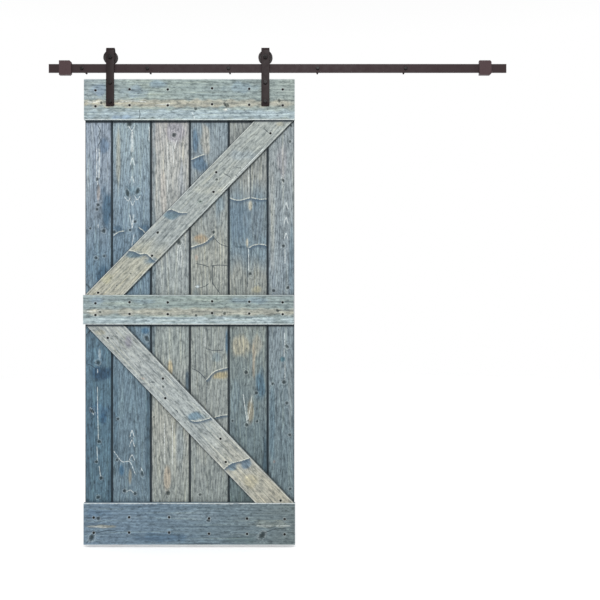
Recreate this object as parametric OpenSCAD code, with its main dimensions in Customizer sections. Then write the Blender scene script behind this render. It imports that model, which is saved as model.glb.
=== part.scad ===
// Sliding barn door: a braced plank leaf hung by two strap rollers from a flat wall track.
// Millimetres. +X along the track, +Y into the wall, +Z up. The wall's face is y = 0, and the
// origin is the third wall bolt's axis on that face.

/* [Track] */
// Length of the flat track bar
track_length = 2100; // [1800:10:3000]
// Height of the track bar
track_height = 40; // [34:0.5:50]
// Thickness of the track bar
track_thick = 6; // [5:0.5:8]
// Length of the standoff tubes, from the wall to the bar's back
standoff_length = 32; // [27:0.5:45]
// Outer diameter of the standoff tubes
standoff_d = 20; // [16:0.5:25]

/* [Wall bolts] */
// From the bar's left end to the first wall bolt
wall_bolt_1 = 152; // [110:1:200]
// From the bar's left end to the second wall bolt
wall_bolt_2 = 453; // [300:1:550]
// From the bar's left end to the third wall bolt
wall_bolt_3 = 825; // [700:1:900]
// From the bar's right end to the fourth wall bolt
wall_bolt_4 = 866; // [700:1:900]
// From the bar's right end to the fifth wall bolt
wall_bolt_5 = 462; // [250:1:600]
// Diameter of the wall bolts' plain shank
wall_bolt_d = 9.5; // [8:0.5:12]
// Diameter over the wall bolts' thread
wall_thread_d = 9; // [7.5:0.1:11.5]
// Width across flats of the wall bolts' heads
wall_bolt_flats = 14.3; // [13:0.1:19]
// Height of the wall bolts' heads
wall_bolt_head = 5.8; // [4:0.1:6.5]
// How far the wall bolts reach past the wall's face
wall_bolt_reach = 57; // [40:1:80]

/* [End stops] */
// Width of a stop along the track
stop_width = 55; // [40:1:80]
// Height of a stop above the bar's top edge
stop_above = 14; // [10:0.5:20]
// Height of a stop below the bar's bottom edge
stop_below = 11; // [8:0.5:16]
// Thickness of a stop in front of the bar
stop_front = 10; // [6:0.5:14]
// Thickness of the lips that hold a stop behind the bar
stop_back = 5; // [3:0.5:8]
// Height of each lip behind the bar
stop_lip = 8; // [5:0.5:14]
// Cut across a stop's right-hand corners
stop_corner = 6; // [2:0.5:10]
// From the bar's left end to the left stop's centre
stop_left_place = 77; // [40:1:90]
// From the bar's right end to the right stop's centre
stop_right_place = 98; // [40:1:160]
// Diameter of the stops' set screws
stop_screw_d = 6; // [4:0.5:8]
// Distance between a stop's two set screws
stop_screw_spacing = 28; // [20:1:36]

/* [Door] */
// Width over the planks
door_width = 962; // [800:2:1300]
// Height of the leaf
door_height = 2134; // [1900:2:2600]
// Gap between the track bar and the top of the leaf
door_drop = 31; // [20:1:45]
// From the left stop's centre to the left wheel's centre, with the door at rest
door_rest = 207; // [90:1:400]
// Thickness of the planks
plank_thick = 19; // [15:0.5:23]
// Width of a full plank, from seam to seam
plank_pitch = 179; // [140:1:188]
// Gap in each seam between planks
seam_gap = 0.5; // [0.3:0.1:2]
// Bevel along each seam's edges
seam_bevel = 4; // [1:0.5:6]
// Thickness of the planks' tongues
tongue_thick = 6; // [4:0.5:7]
// Length of the planks' tongues
tongue_length = 8; // [5:0.5:12]

/* [Rails and braces] */
// Thickness of the rails and braces
rail_thick = 19; // [15:0.5:23]
// Height of the top rail
top_rail_height = 187; // [150:1:240]
// Height of the middle rail
middle_rail_height = 135; // [105:1:200]
// From the top of the leaf to the top of the middle rail
middle_rail_drop = 989; // [700:1:1200]
// Height of the bottom rail
bottom_rail_height = 193; // [155:1:260]
// How far the top and middle rails pass the planks at each side
rail_overhang = 2; // [0:0.5:10]
// How far the bottom rail passes the planks at each side
bottom_rail_overhang = 4; // [0:0.5:10]
// How far to the left of the leaf's centre the middle rail sits
middle_rail_shift = 4; // [0:0.5:6]
// Width of the braces
brace_width = 125; // [90:1:170]
// From a brace's outer corner to the side of the planks
brace_inset = 5; // [0:1:30]
// Gap between a brace's end and the rail
brace_gap = 0.5; // [0.3:0.1:2]

/* [Wood screws] */
// Diameter of the wood screws' heads
screw_head_d = 9; // [7:0.5:11]
// Diameter of the wood screws' shanks
screw_d = 4.2; // [3.5:0.1:6]
// Height of the countersunk head
screw_head_height = 2.8; // [2:0.1:4]
// How far short of the leaf's back the screws end
screw_short = 4; // [2:0.5:8]
// From the top rail's top to its two rows of screws
top_rows = [47, 120]; // [15:1:140]
// From the middle rail's top to its two rows of screws
middle_rows = [33, 87]; // [15:1:100]
// From the bottom rail's top to its two rows of screws
bottom_rows = [69, 139]; // [15:1:145]

/* [Hangers] */
// Width of the hanger straps
strap_width = 37; // [30:0.5:50]
// Thickness of the hanger straps
strap_thick = 5; // [4:0.5:7]
// Room between the wheel's top and the strap's bend
strap_clear = 7.7; // [4:0.1:15]
// How far a strap's front leg laps down over the leaf
strap_lap = 125; // [115:1:180]
// How far the strap's back leg reaches below the axle
strap_back_leg = 20; // [13:0.5:24]
// From the left side of the planks to the left hanger's centre
hanger_inset_left = 119; // [60:0.5:240]
// From the right side of the planks to the right hanger's centre
hanger_inset_right = 132.5; // [60:0.5:240]
// From the top of the leaf to the upper strap bolt
strap_bolt_drop = 17; // [16:0.5:30]
// Distance between the upper and lower strap bolts
strap_bolt_spacing = 87; // [60:1:95]
// Diameter of the strap bolts
strap_bolt_d = 10; // [8:0.5:12]
// Width across flats of the strap bolts and nuts
strap_bolt_flats = 17; // [13:0.5:20]
// Height of the strap bolts' heads
strap_bolt_head = 6.4; // [5:0.1:8]
// Height of the strap bolts' nuts
strap_nut_height = 8; // [6:0.5:9]
// Outer diameter of the washers under the nuts
washer_d = 20; // [18:0.5:26]
// Thickness of the washers
washer_thick = 2; // [1:0.25:2.5]
// Diameter of the axle bolts
axle_d = 12; // [10:0.5:14]
// Width across flats of the axle bolts and nuts
axle_flats = 19; // [17:0.5:24]
// Height of the axle bolts' heads
axle_head = 7.5; // [5:0.5:9]
// Height of the axle nuts
axle_nut_height = 8; // [6:0.5:11]
// How far an axle bolt's end stands out of its nut
axle_proud = 2; // [0.5:0.5:5]

/* [Wheels and bearings] */
// Radius of the wheel's groove, where it rolls on the bar
tread_r = 29; // [24:0.5:40]
// Height of the wheel's flanges above the groove
flange_height = 3.5; // [2.5:0.1:5]
// Width of the wheel
wheel_width = 18.5; // [17:0.5:24]
// Room between the bar and each side of the groove
groove_clear = 0.75; // [0.4:0.05:1.2]
// Room between the wheel and each leg of the strap
wheel_side_clear = 1.75; // [1:0.05:3]
// Outer diameter of the ball bearings
bearing_d = 32; // [30:0.5:38.5]
// Width of the ball bearings
bearing_width = 10; // [9:0.5:12]
// Diameter of the bearing balls
ball_d = 5.95; // [5:0.05:6.3]
// Thickness of the bearing's shields
shield_thick = 0.4; // [0.3:0.1:0.6]

/* [Hidden] */
$fn = 96;

// Clearances: a bolt in its hole, a close running fit, a wheel on its track, a tongue in its groove
bolt_clear = 0.2;
fit_clear = 0.05;
roll_clear = 0.3;
tongue_clear = 0.2;
// How far cutting shapes pass the surfaces that they cut
cut = 1;

// Places across the track, from the wall towards the front
track_back_y = -standoff_length;
track_front_y = track_back_y - track_thick;
track_mid_y = track_back_y - track_thick / 2;
strap_gap = wheel_width + 2 * wheel_side_clear;
door_front_y = track_mid_y - strap_gap / 2;
plank_front_y = door_front_y + rail_thick;
door_back_y = plank_front_y + plank_thick;
strap_front_y = door_front_y - strap_thick;
back_leg_y = track_mid_y + strap_gap / 2;

// Places along the track
track_left_x = -wall_bolt_3;
track_right_x = track_left_x + track_length;
WALL_BOLT_X = [
    track_left_x + wall_bolt_1,
    track_left_x + wall_bolt_2,
    0,
    track_right_x - wall_bolt_4,
    track_right_x - wall_bolt_5
];
stop_left_x = track_left_x + stop_left_place;
stop_right_x = track_right_x - stop_right_place;
left_x = stop_left_x + door_rest;
door_left_x = left_x - hanger_inset_left;
door_right_x = door_left_x + door_width;
door_x = (door_left_x + door_right_x) / 2;
right_x = door_right_x - hanger_inset_right;

// Heights
track_top_z = track_height / 2;
track_bottom_z = -track_height / 2;
door_top_z = track_bottom_z - door_drop;
door_bottom_z = door_top_z - door_height;
axle_z = track_top_z + roll_clear + tread_r;
bend_z = axle_z + tread_r + flange_height + strap_clear - strap_gap / 2;
strap_bottom_z = door_top_z - strap_lap;
STRAP_BOLT_Z = [
    door_top_z - strap_bolt_drop,
    door_top_z - strap_bolt_drop - strap_bolt_spacing
];
top_rail_bottom_z = door_top_z - top_rail_height;
middle_rail_z = door_top_z - middle_rail_drop;
middle_rail_bottom_z = middle_rail_z - middle_rail_height;
bottom_rail_z = door_bottom_z + bottom_rail_height;

// The nuts and washers lie in round pockets in the back of the planks
pocket_d = washer_d + 4;
pocket_depth = washer_thick + strap_nut_height + 1;
pocket_y = door_back_y - pocket_depth;

// Bearing sections, as radii from the axle
ball_path_r = (bearing_d + axle_d) / 4;
race_r = ball_d / 2 + fit_clear;
shoulder = 2.3;
inner_ring_r = ball_path_r - shoulder;
outer_ring_r = ball_path_r + shoulder;
cage_wall = 1.4;
ball_count = 7;

// Planks, counted from the left
PLANK_COUNT = 6;
function seam_x(i) = door_x + (i - PLANK_COUNT / 2) * plank_pitch;
function plank_left(i) = i == 0 ? door_left_x : seam_x(i) + seam_gap / 2;
function plank_right(i) = i == PLANK_COUNT - 1 ? door_right_x : seam_x(i + 1) - seam_gap / 2;
function plank_centre(i) = (plank_left(i) + plank_right(i)) / 2;

// Screws are set by eye: each plank's screws stand off its centre line by so much, and sit so far
// below their row
TOP_DRIFT = [[-10, 5], [-5, 0], [-9, 1], [15, -4], [6, -2], [8, 1]];
BOTTOM_DRIFT = [[-18, -2], [-7, -3], [-3, -3], [1, 2], [-4, 3], [17, 5]];
function rail_sites(top_z, rows, drift) = [
    for (row = rows)
        for (i = [0:PLANK_COUNT - 1])
            [plank_centre(i) + drift[i][0], top_z - row - drift[i][1]]
];
TOP_SITES = rail_sites(door_top_z, top_rows, TOP_DRIFT);
MIDDLE_SITES = rail_sites(middle_rail_z, middle_rows, TOP_DRIFT);
BOTTOM_SITES = rail_sites(bottom_rail_z, bottom_rows, BOTTOM_DRIFT);

// A brace runs from one rail to the next with its ends cut level. Its angle brings its two outer
// corners to the inset on each side.
brace_span = door_width - 2 * brace_inset;
function brace_angle(rise) = atan(rise / brace_span)
    + asin(brace_width / sqrt(rise * rise + brace_span * brace_span));
// Brace screws: measured from the bottom end (-1), the middle (0) or the top end (1), then so far
// up and so far across from the brace's centre line
BRACE_SCREWS = [[1, -61, 42], [0, 161, -33], [0, 71, 42], [0, -115, -33], [0, -221, 44], [-1, 10, -38]];
function brace_sites(low_z, high_z, lean) = [
    for (s = BRACE_SCREWS)
        let (rise = high_z - low_z, up = s[0] * rise / 2 + s[1])
            [door_x + lean * (up / tan(brace_angle(rise)) + s[2]), (low_z + high_z) / 2 + up]
];
upper_low_z = middle_rail_z + brace_gap;
upper_high_z = top_rail_bottom_z - brace_gap;
lower_low_z = bottom_rail_z + brace_gap;
lower_high_z = middle_rail_bottom_z - brace_gap;
UPPER_SITES = brace_sites(upper_low_z, upper_high_z, 1);
LOWER_SITES = brace_sites(lower_low_z, lower_high_z, -1);
ALL_SITES = concat(TOP_SITES, MIDDLE_SITES, BOTTOM_SITES, UPPER_SITES, LOWER_SITES);
screw_sink = 0.3;
screw_length = rail_thick + plank_thick - screw_short - screw_sink;

BRONZE = "#493f40";
DARK_BRONZE = "#382f30";
STEEL = "#9a9a98";
BLACK = "#1d1b1b";
PALE_WOOD = "#a0a8a6";
BLUE_WOOD = "#7f919b";

// ---- Shared shapes ----

// A cylinder along Y between two places
module along_y(y0, y1, r) {
    translate([0, y1, 0])
        rotate([90, 0, 0])
            cylinder(h = y1 - y0, r = r);
}

// A section [radius, distance towards the front] turned about the Y axis
module turned(points) {
    rotate([90, 0, 0])
        rotate_extrude()
            polygon(points);
}

// A hexagon with its front corners turned off, standing on y = 0 towards the front
module hexagon(flats, height, turn = 0) {
    corner_r = flats / sqrt(3);
    bevel = (corner_r - flats / 2) * 0.9;
    intersection() {
        rotate([90, turn, 0])
            cylinder(h = height, r = corner_r, $fn = 6);
        turned([
            [0, 0],
            [corner_r + cut, 0],
            [corner_r + cut, height - bevel],
            [corner_r, height - bevel],
            [flats / 2 - bevel / 2, height],
            [0, height]
        ]);
    }
}

// A nut: a hexagon with a hole
module nut(flats, height, hole_d) {
    difference() {
        hexagon(flats, height);
        along_y(-height - cut, cut, hole_d / 2);
    }
}

// A round tube along Y between two places
module tube(y0, y1, outer_r, inner_r) {
    difference() {
        along_y(y0, y1, outer_r);
        along_y(y0 - cut, y1 + cut, inner_r);
    }
}

// ---- Track ----

module track_bar() {
    edge = 1;
    color(BRONZE)
        difference() {
            translate([track_left_x, 0, 0])
                rotate([90, 0, 90])
                    linear_extrude(track_length)
                        polygon([
                            [track_front_y + edge, track_bottom_z],
                            [track_back_y - edge, track_bottom_z],
                            [track_back_y, track_bottom_z + edge],
                            [track_back_y, track_top_z - edge],
                            [track_back_y - edge, track_top_z],
                            [track_front_y + edge, track_top_z],
                            [track_front_y, track_top_z - edge],
                            [track_front_y, track_bottom_z + edge]
                        ]);
            for (x = WALL_BOLT_X)
                translate([x, 0, 0])
                    along_y(track_front_y - cut, track_back_y + cut, wall_bolt_d / 2 + bolt_clear);
        }
}

module standoff(i) {
    color(DARK_BRONZE)
        translate([WALL_BOLT_X[i], 0, 0])
            tube(track_back_y, 0, standoff_d / 2, wall_bolt_d / 2 + bolt_clear);
}

// A hex lag bolt: plain shank as far as the wall's face, then thread, then a point
module lag_bolt(i) {
    point = 7;
    color(DARK_BRONZE)
        translate([WALL_BOLT_X[i], 0, 0]) {
            translate([0, track_front_y, 0])
                hexagon(wall_bolt_flats, wall_bolt_head, 30);
            turned([
                [0, -wall_bolt_reach],
                [wall_thread_d / 2, point - wall_bolt_reach],
                [wall_thread_d / 2, 0],
                [wall_bolt_d / 2, 0],
                [wall_bolt_d / 2, -track_front_y + cut],
                [0, -track_front_y + cut]
            ]);
        }
}

module stop_block(x) {
    half = stop_width / 2;
    top_z = track_top_z + stop_above;
    bottom_z = track_bottom_z - stop_below;
    front_y = track_front_y - fit_clear - stop_front;
    back_y = track_back_y + fit_clear + stop_back;
    mouth = track_height / 2 - stop_lip;
    color(BRONZE)
        difference() {
            translate([x, back_y, 0])
                rotate([90, 0, 0])
                    linear_extrude(back_y - front_y)
                        polygon([
                            [-half, bottom_z],
                            [half - stop_corner, bottom_z],
                            [half, bottom_z + stop_corner],
                            [half, top_z - stop_corner],
                            [half - stop_corner, top_z],
                            [-half, top_z]
                        ]);
            translate([x - half - cut, track_front_y - fit_clear, track_bottom_z - fit_clear])
                cube([stop_width + 2 * cut, track_thick + 2 * fit_clear, track_height + 2 * fit_clear]);
            translate([x - half - cut, track_back_y, -mouth])
                cube([stop_width + 2 * cut, stop_back + cut, 2 * mouth]);
            for (side = [-1, 1])
                translate([x + side * stop_screw_spacing / 2, track_mid_y, track_top_z])
                    cylinder(h = stop_above + cut, d = stop_screw_d + 2 * fit_clear);
        }
}

// Set screws pressed down on the bar's top edge, with a hexagon socket
module stop_screws(x) {
    socket = stop_screw_d / 2;
    length = stop_above - 2;
    color(BLACK)
        for (side = [-1, 1])
            translate([x + side * stop_screw_spacing / 2, track_mid_y, track_top_z])
                difference() {
                    cylinder(h = length, d = stop_screw_d);
                    translate([0, 0, length - socket])
                        cylinder(h = socket + cut, d = socket / cos(30), $fn = 6);
                }
}

// ---- Door leaf ----

// One plank: bevelled on each seam, with a tongue on its left edge and a groove in its right edge
module plank(i) {
    left = plank_left(i);
    right = plank_right(i);
    middle_y = (plank_front_y + door_back_y) / 2;
    tongue = tongue_thick / 2;
    groove = tongue + tongue_clear;
    left_edge = i == 0
        ? [[left, door_back_y], [left, plank_front_y]]
        : [
            [left, door_back_y],
            [left, middle_y + tongue],
            [left - tongue_length, middle_y + tongue],
            [left - tongue_length, middle_y - tongue],
            [left, middle_y - tongue],
            [left, plank_front_y + seam_bevel],
            [left + seam_bevel, plank_front_y]
        ];
    right_edge = i == PLANK_COUNT - 1
        ? [[right, plank_front_y], [right, door_back_y]]
        : [
            [right - seam_bevel, plank_front_y],
            [right, plank_front_y + seam_bevel],
            [right, middle_y - groove],
            [right - tongue_length, middle_y - groove],
            [right - tongue_length, middle_y + groove],
            [right, middle_y + groove],
            [right, door_back_y]
        ];
    near = tongue_length + washer_d;
    color(i % 2 == 0 ? BLUE_WOOD : PALE_WOOD)
        difference() {
            translate([0, 0, door_bottom_z])
                linear_extrude(door_height)
                    polygon(concat(left_edge, right_edge));
            for (s = ALL_SITES)
                if (s[0] > left - near && s[0] < right + near)
                    translate([s[0], 0, s[1]])
                        along_y(
                            plank_front_y - cut,
                            door_back_y - screw_short + bolt_clear,
                            screw_d / 2 + bolt_clear
                        );
            for (x = [left_x, right_x])
                if (x > left - near && x < right + near)
                    for (z = STRAP_BOLT_Z)
                        translate([x, 0, z]) {
                            along_y(plank_front_y - cut, door_back_y + cut, strap_bolt_d / 2 + bolt_clear);
                            along_y(pocket_y, door_back_y + cut, pocket_d / 2);
                        }
        }
}

// The hole that a wood screw's countersunk head and shank take in a rail or brace
module screw_hole(site) {
    head_r = screw_head_d / 2 + bolt_clear;
    hole_r = screw_d / 2 + bolt_clear;
    translate([site[0], door_front_y, site[1]])
        turned([
            [0, cut],
            [head_r, cut],
            [head_r, -screw_sink - bolt_clear],
            [hole_r, -screw_sink - screw_head_height - bolt_clear],
            [hole_r, -rail_thick - cut],
            [0, -rail_thick - cut]
        ]);
}

module rail(left, right, top_z, height, sites) {
    color(PALE_WOOD)
        difference() {
            translate([left, door_front_y, top_z - height])
                cube([right - left, rail_thick, height]);
            for (s = sites)
                screw_hole(s);
        }
}

module top_rail() {
    difference() {
        rail(
            door_left_x - rail_overhang,
            door_right_x + rail_overhang,
            door_top_z,
            top_rail_height,
            TOP_SITES
        );
        for (x = [left_x, right_x])
            for (z = STRAP_BOLT_Z)
                translate([x, 0, z])
                    along_y(door_front_y - cut, plank_front_y + cut, strap_bolt_d / 2 + bolt_clear);
    }
}

module middle_rail() {
    rail(
        door_left_x - rail_overhang - middle_rail_shift,
        door_right_x + rail_overhang - middle_rail_shift,
        middle_rail_z,
        middle_rail_height,
        MIDDLE_SITES
    );
}

module bottom_rail() {
    rail(
        door_left_x - bottom_rail_overhang,
        door_right_x + bottom_rail_overhang,
        bottom_rail_z,
        bottom_rail_height,
        BOTTOM_SITES
    );
}

// A brace between two heights; lean is 1 where it rises to the right and -1 to the left
module brace(low_z, high_z, lean, sites) {
    foot = brace_width / sin(brace_angle(high_z - low_z));
    half = brace_span / 2;
    color(PALE_WOOD)
        difference() {
            translate([door_x, plank_front_y, 0])
                rotate([90, 0, 0])
                    linear_extrude(rail_thick)
                        polygon([
                            [-lean * half, low_z],
                            [-lean * (half - foot), low_z],
                            [lean * half, high_z],
                            [lean * (half - foot), high_z]
                        ]);
            for (s = sites)
                screw_hole(s);
        }
}

module upper_brace() {
    brace(upper_low_z, upper_high_z, 1, UPPER_SITES);
}

module lower_brace() {
    brace(lower_low_z, lower_high_z, -1, LOWER_SITES);
}

// Countersunk wood screws with a cross recess, sunk just below the face
module wood_screws(sites) {
    head_r = screw_head_d / 2;
    rim = 0.3;
    point = 5;
    slot = [head_r, 2, 1];
    color(BLACK)
        for (s = sites)
            translate([s[0], door_front_y + screw_sink, s[1]])
                difference() {
                    turned([
                        [0, 0],
                        [head_r, 0],
                        [head_r, -rim],
                        [screw_d / 2, -screw_head_height],
                        [screw_d / 2, point - screw_length],
                        [0, -screw_length]
                    ]);
                    cube([slot.x, 2 * slot.y, slot.z], center = true);
                    cube([slot.z, 2 * slot.y, slot.x], center = true);
                }
}

// ---- Hangers, at a place x along the track ----

// A flat strap bent round over the wheel: a long front leg, a half-round bend and a short back leg
module strap(x) {
    inner_r = strap_gap / 2;
    back_bottom_z = axle_z - strap_back_leg;
    color(BRONZE)
        difference() {
            union() {
                translate([x - strap_width / 2, strap_front_y, strap_bottom_z])
                    cube([strap_width, strap_thick, bend_z - strap_bottom_z]);
                translate([x - strap_width / 2, back_leg_y, back_bottom_z])
                    cube([strap_width, strap_thick, bend_z - back_bottom_z]);
                translate([x - strap_width / 2, track_mid_y, bend_z])
                    rotate([90, 0, 90])
                        linear_extrude(strap_width)
                            difference() {
                                circle(r = inner_r + strap_thick);
                                circle(r = inner_r);
                                translate([-2 * inner_r, -4 * inner_r])
                                    square([4 * inner_r, 4 * inner_r]);
                            }
            }
            translate([x, 0, axle_z])
                along_y(strap_front_y - cut, back_leg_y + strap_thick + cut, axle_d / 2 + bolt_clear);
            for (z = STRAP_BOLT_Z)
                translate([x, 0, z])
                    along_y(strap_front_y - cut, door_front_y + cut, strap_bolt_d / 2 + bolt_clear);
        }
}

// Bolt from the back, through both legs of the strap and out of the nut in front
module axle_bolt(x) {
    back_y = back_leg_y + strap_thick;
    end_y = strap_front_y - axle_nut_height - axle_proud;
    tip = 1;
    color(DARK_BRONZE)
        translate([x, 0, axle_z]) {
            translate([0, back_y, 0])
                mirror([0, 1, 0])
                    hexagon(axle_flats, axle_head);
            turned([
                [0, -back_y - cut],
                [axle_d / 2, -back_y - cut],
                [axle_d / 2, -end_y - tip],
                [axle_d / 2 - tip, -end_y],
                [0, -end_y]
            ]);
        }
}

module axle_nut(x) {
    color(DARK_BRONZE)
        translate([x, strap_front_y, axle_z])
            nut(axle_flats, axle_nut_height, axle_d + 2 * fit_clear);
}

// Short tubes that keep the bearing's inner ring in the middle of the strap
module axle_spacers(x) {
    color(STEEL)
        translate([x, 0, axle_z])
            for (side = [0, 1])
                translate([0, track_mid_y, 0])
                    mirror([0, side, 0])
                        tube(-strap_gap / 2, -bearing_width / 2, inner_ring_r - 0.3, axle_d / 2 + fit_clear);
}

module bearing_inner_ring(x) {
    color(STEEL)
        translate([x, track_mid_y, axle_z])
            difference() {
                tube(-bearing_width / 2, bearing_width / 2, inner_ring_r, axle_d / 2 + fit_clear);
                ball_track();
            }
}

// The groove that the balls run in
module ball_track() {
    rotate([90, 0, 0])
        rotate_extrude()
            translate([ball_path_r, 0])
                circle(r = race_r);
}

// A bolt in front of the strap, through the leaf, that ends flush with its nut
module strap_bolt(x, row) {
    end_y = pocket_y + washer_thick + strap_nut_height;
    tip = 1;
    color(DARK_BRONZE)
        translate([x, strap_front_y, STRAP_BOLT_Z[row]]) {
            hexagon(strap_bolt_flats, strap_bolt_head, 30);
            turned([
                [0, cut],
                [strap_bolt_d / 2, cut],
                [strap_bolt_d / 2, strap_front_y - end_y + tip],
                [strap_bolt_d / 2 - tip, strap_front_y - end_y],
                [0, strap_front_y - end_y]
            ]);
        }
}

module strap_washers(x) {
    color(STEEL)
        for (z = STRAP_BOLT_Z)
            translate([x, 0, z])
                tube(pocket_y, pocket_y + washer_thick, washer_d / 2, strap_bolt_d / 2 + bolt_clear);
}

module strap_nuts(x) {
    color(STEEL)
        for (z = STRAP_BOLT_Z)
            translate([x, pocket_y + washer_thick, z])
                mirror([0, 1, 0])
                    nut(strap_bolt_flats, strap_nut_height, strap_bolt_d + 2 * fit_clear);
}

// ---- Wheels and bearings ----

// Grooved wheel: two flanges, a web thinner than its rim, and a seat for the bearing with a lip
module wheel(x) {
    half = wheel_width / 2;
    groove = track_thick / 2 + groove_clear;
    flange_r = tread_r + flange_height;
    edge = 1;
    seat_r = bearing_d / 2 + fit_clear;
    lip_r = bearing_d / 2 - 1.5;
    hub_r = bearing_d / 2 + 2.5;
    rim_r = tread_r - 3.5;
    web = half - 2;
    color(DARK_BRONZE)
        translate([x, track_mid_y, axle_z])
            turned([
                [seat_r, -half],
                [hub_r, -half],
                [hub_r, -web],
                [rim_r, -web],
                [rim_r, -half],
                [flange_r - edge, -half],
                [flange_r, -half + edge],
                [flange_r, -groove - edge],
                [tread_r, -groove],
                [tread_r, groove],
                [flange_r, groove + edge],
                [flange_r, half - edge],
                [flange_r - edge, half],
                [rim_r, half],
                [rim_r, web],
                [hub_r, web],
                [hub_r, half],
                [lip_r, half],
                [lip_r, bearing_width / 2 + fit_clear],
                [seat_r, bearing_width / 2 + fit_clear]
            ]);
}

module bearing_outer_ring(x) {
    color(STEEL)
        translate([x, track_mid_y, axle_z])
            difference() {
                tube(-bearing_width / 2, bearing_width / 2, bearing_d / 2, outer_ring_r);
                ball_track();
            }
}

// Thin rings that close the bearing on each side
module bearing_shields(x) {
    outer_y = bearing_width / 2 - 0.2;
    color(STEEL)
        translate([x, track_mid_y, axle_z])
            for (side = [0, 1])
                mirror([0, side, 0])
                    tube(-outer_y, shield_thick - outer_y, outer_ring_r - fit_clear, inner_ring_r + 0.3);
}

module bearing_balls(x) {
    color(STEEL)
        translate([x, track_mid_y, axle_z])
            for (i = [0:ball_count - 1])
                rotate([0, i * 360 / ball_count, 0])
                    translate([ball_path_r, 0, 0])
                        sphere(d = ball_d);
}

// A ring with a pocket drilled through it for each ball
module ball_cage(x) {
    half = bearing_width / 2 - shield_thick - 0.6;
    color("#a8803a")
        translate([x, track_mid_y, axle_z])
            difference() {
                tube(-half, half, ball_path_r + cage_wall / 2, ball_path_r - cage_wall / 2);
                for (i = [0:ball_count - 1])
                    rotate([0, i * 360 / ball_count + 90, 0])
                        translate([0, 0, ball_path_r - cage_wall])
                            cylinder(h = 2 * cage_wall, d = ball_d + 4 * fit_clear);
            }
}

// ---- Nodes ----

track_bar();
standoff(0);  // standoff_1
standoff(1);  // standoff_2
standoff(2);  // standoff_3
standoff(3);  // standoff_4
standoff(4);  // standoff_5
lag_bolt(0);  // lag_bolt_1
lag_bolt(1);  // lag_bolt_2
lag_bolt(2);  // lag_bolt_3
lag_bolt(3);  // lag_bolt_4
lag_bolt(4);  // lag_bolt_5
stop_block(stop_left_x);  // stop_left
stop_block(stop_right_x);  // stop_right
stop_screws(stop_left_x);  // stop_screws_left
stop_screws(stop_right_x);  // stop_screws_right
plank(0);  // plank_1
plank(1);  // plank_2
plank(2);  // plank_3
plank(3);  // plank_4
plank(4);  // plank_5
plank(5);  // plank_6
top_rail();
middle_rail();
bottom_rail();
upper_brace();
lower_brace();
wood_screws(TOP_SITES);  // top_rail_screws
wood_screws(MIDDLE_SITES);  // middle_rail_screws
wood_screws(BOTTOM_SITES);  // bottom_rail_screws
wood_screws(UPPER_SITES);  // upper_brace_screws
wood_screws(LOWER_SITES);  // lower_brace_screws
strap(left_x);  // left_strap
axle_bolt(left_x);  // left_axle_bolt
axle_nut(left_x);  // left_axle_nut
axle_spacers(left_x);  // left_axle_spacers
bearing_inner_ring(left_x);  // left_bearing_inner_ring
strap_bolt(left_x, 0);  // left_strap_bolt_upper
strap_bolt(left_x, 1);  // left_strap_bolt_lower
strap_washers(left_x);  // left_strap_washers
strap_nuts(left_x);  // left_strap_nuts
strap(right_x);  // right_strap
axle_bolt(right_x);  // right_axle_bolt
axle_nut(right_x);  // right_axle_nut
axle_spacers(right_x);  // right_axle_spacers
bearing_inner_ring(right_x);  // right_bearing_inner_ring
strap_bolt(right_x, 0);  // right_strap_bolt_upper
strap_bolt(right_x, 1);  // right_strap_bolt_lower
strap_washers(right_x);  // right_strap_washers
strap_nuts(right_x);  // right_strap_nuts
wheel(left_x);  // left_wheel
bearing_outer_ring(left_x);  // left_bearing_outer_ring
bearing_shields(left_x);  // left_bearing_shields
wheel(right_x);  // right_wheel
bearing_outer_ring(right_x);  // right_bearing_outer_ring
bearing_shields(right_x);  // right_bearing_shields
bearing_balls(left_x);  // left_bearing_balls
ball_cage(left_x);  // left_ball_cage
bearing_balls(right_x);  // right_bearing_balls
ball_cage(right_x);  // right_ball_cage
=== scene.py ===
"""The looks of a plank barn door on its flat track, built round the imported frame.

Every shape is a surface worked out with numpy: a section carried along a line, or a profile turned
about an axis.  Sizes are in millimetres in the frame's own axes (+X right, +Y into the wall, +Z up)
and become metres when a mesh is made.  Millimetres are also the unit of every pattern's scale.
"""
import logging
import math
from dataclasses import dataclass, field
from enum import Enum

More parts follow.
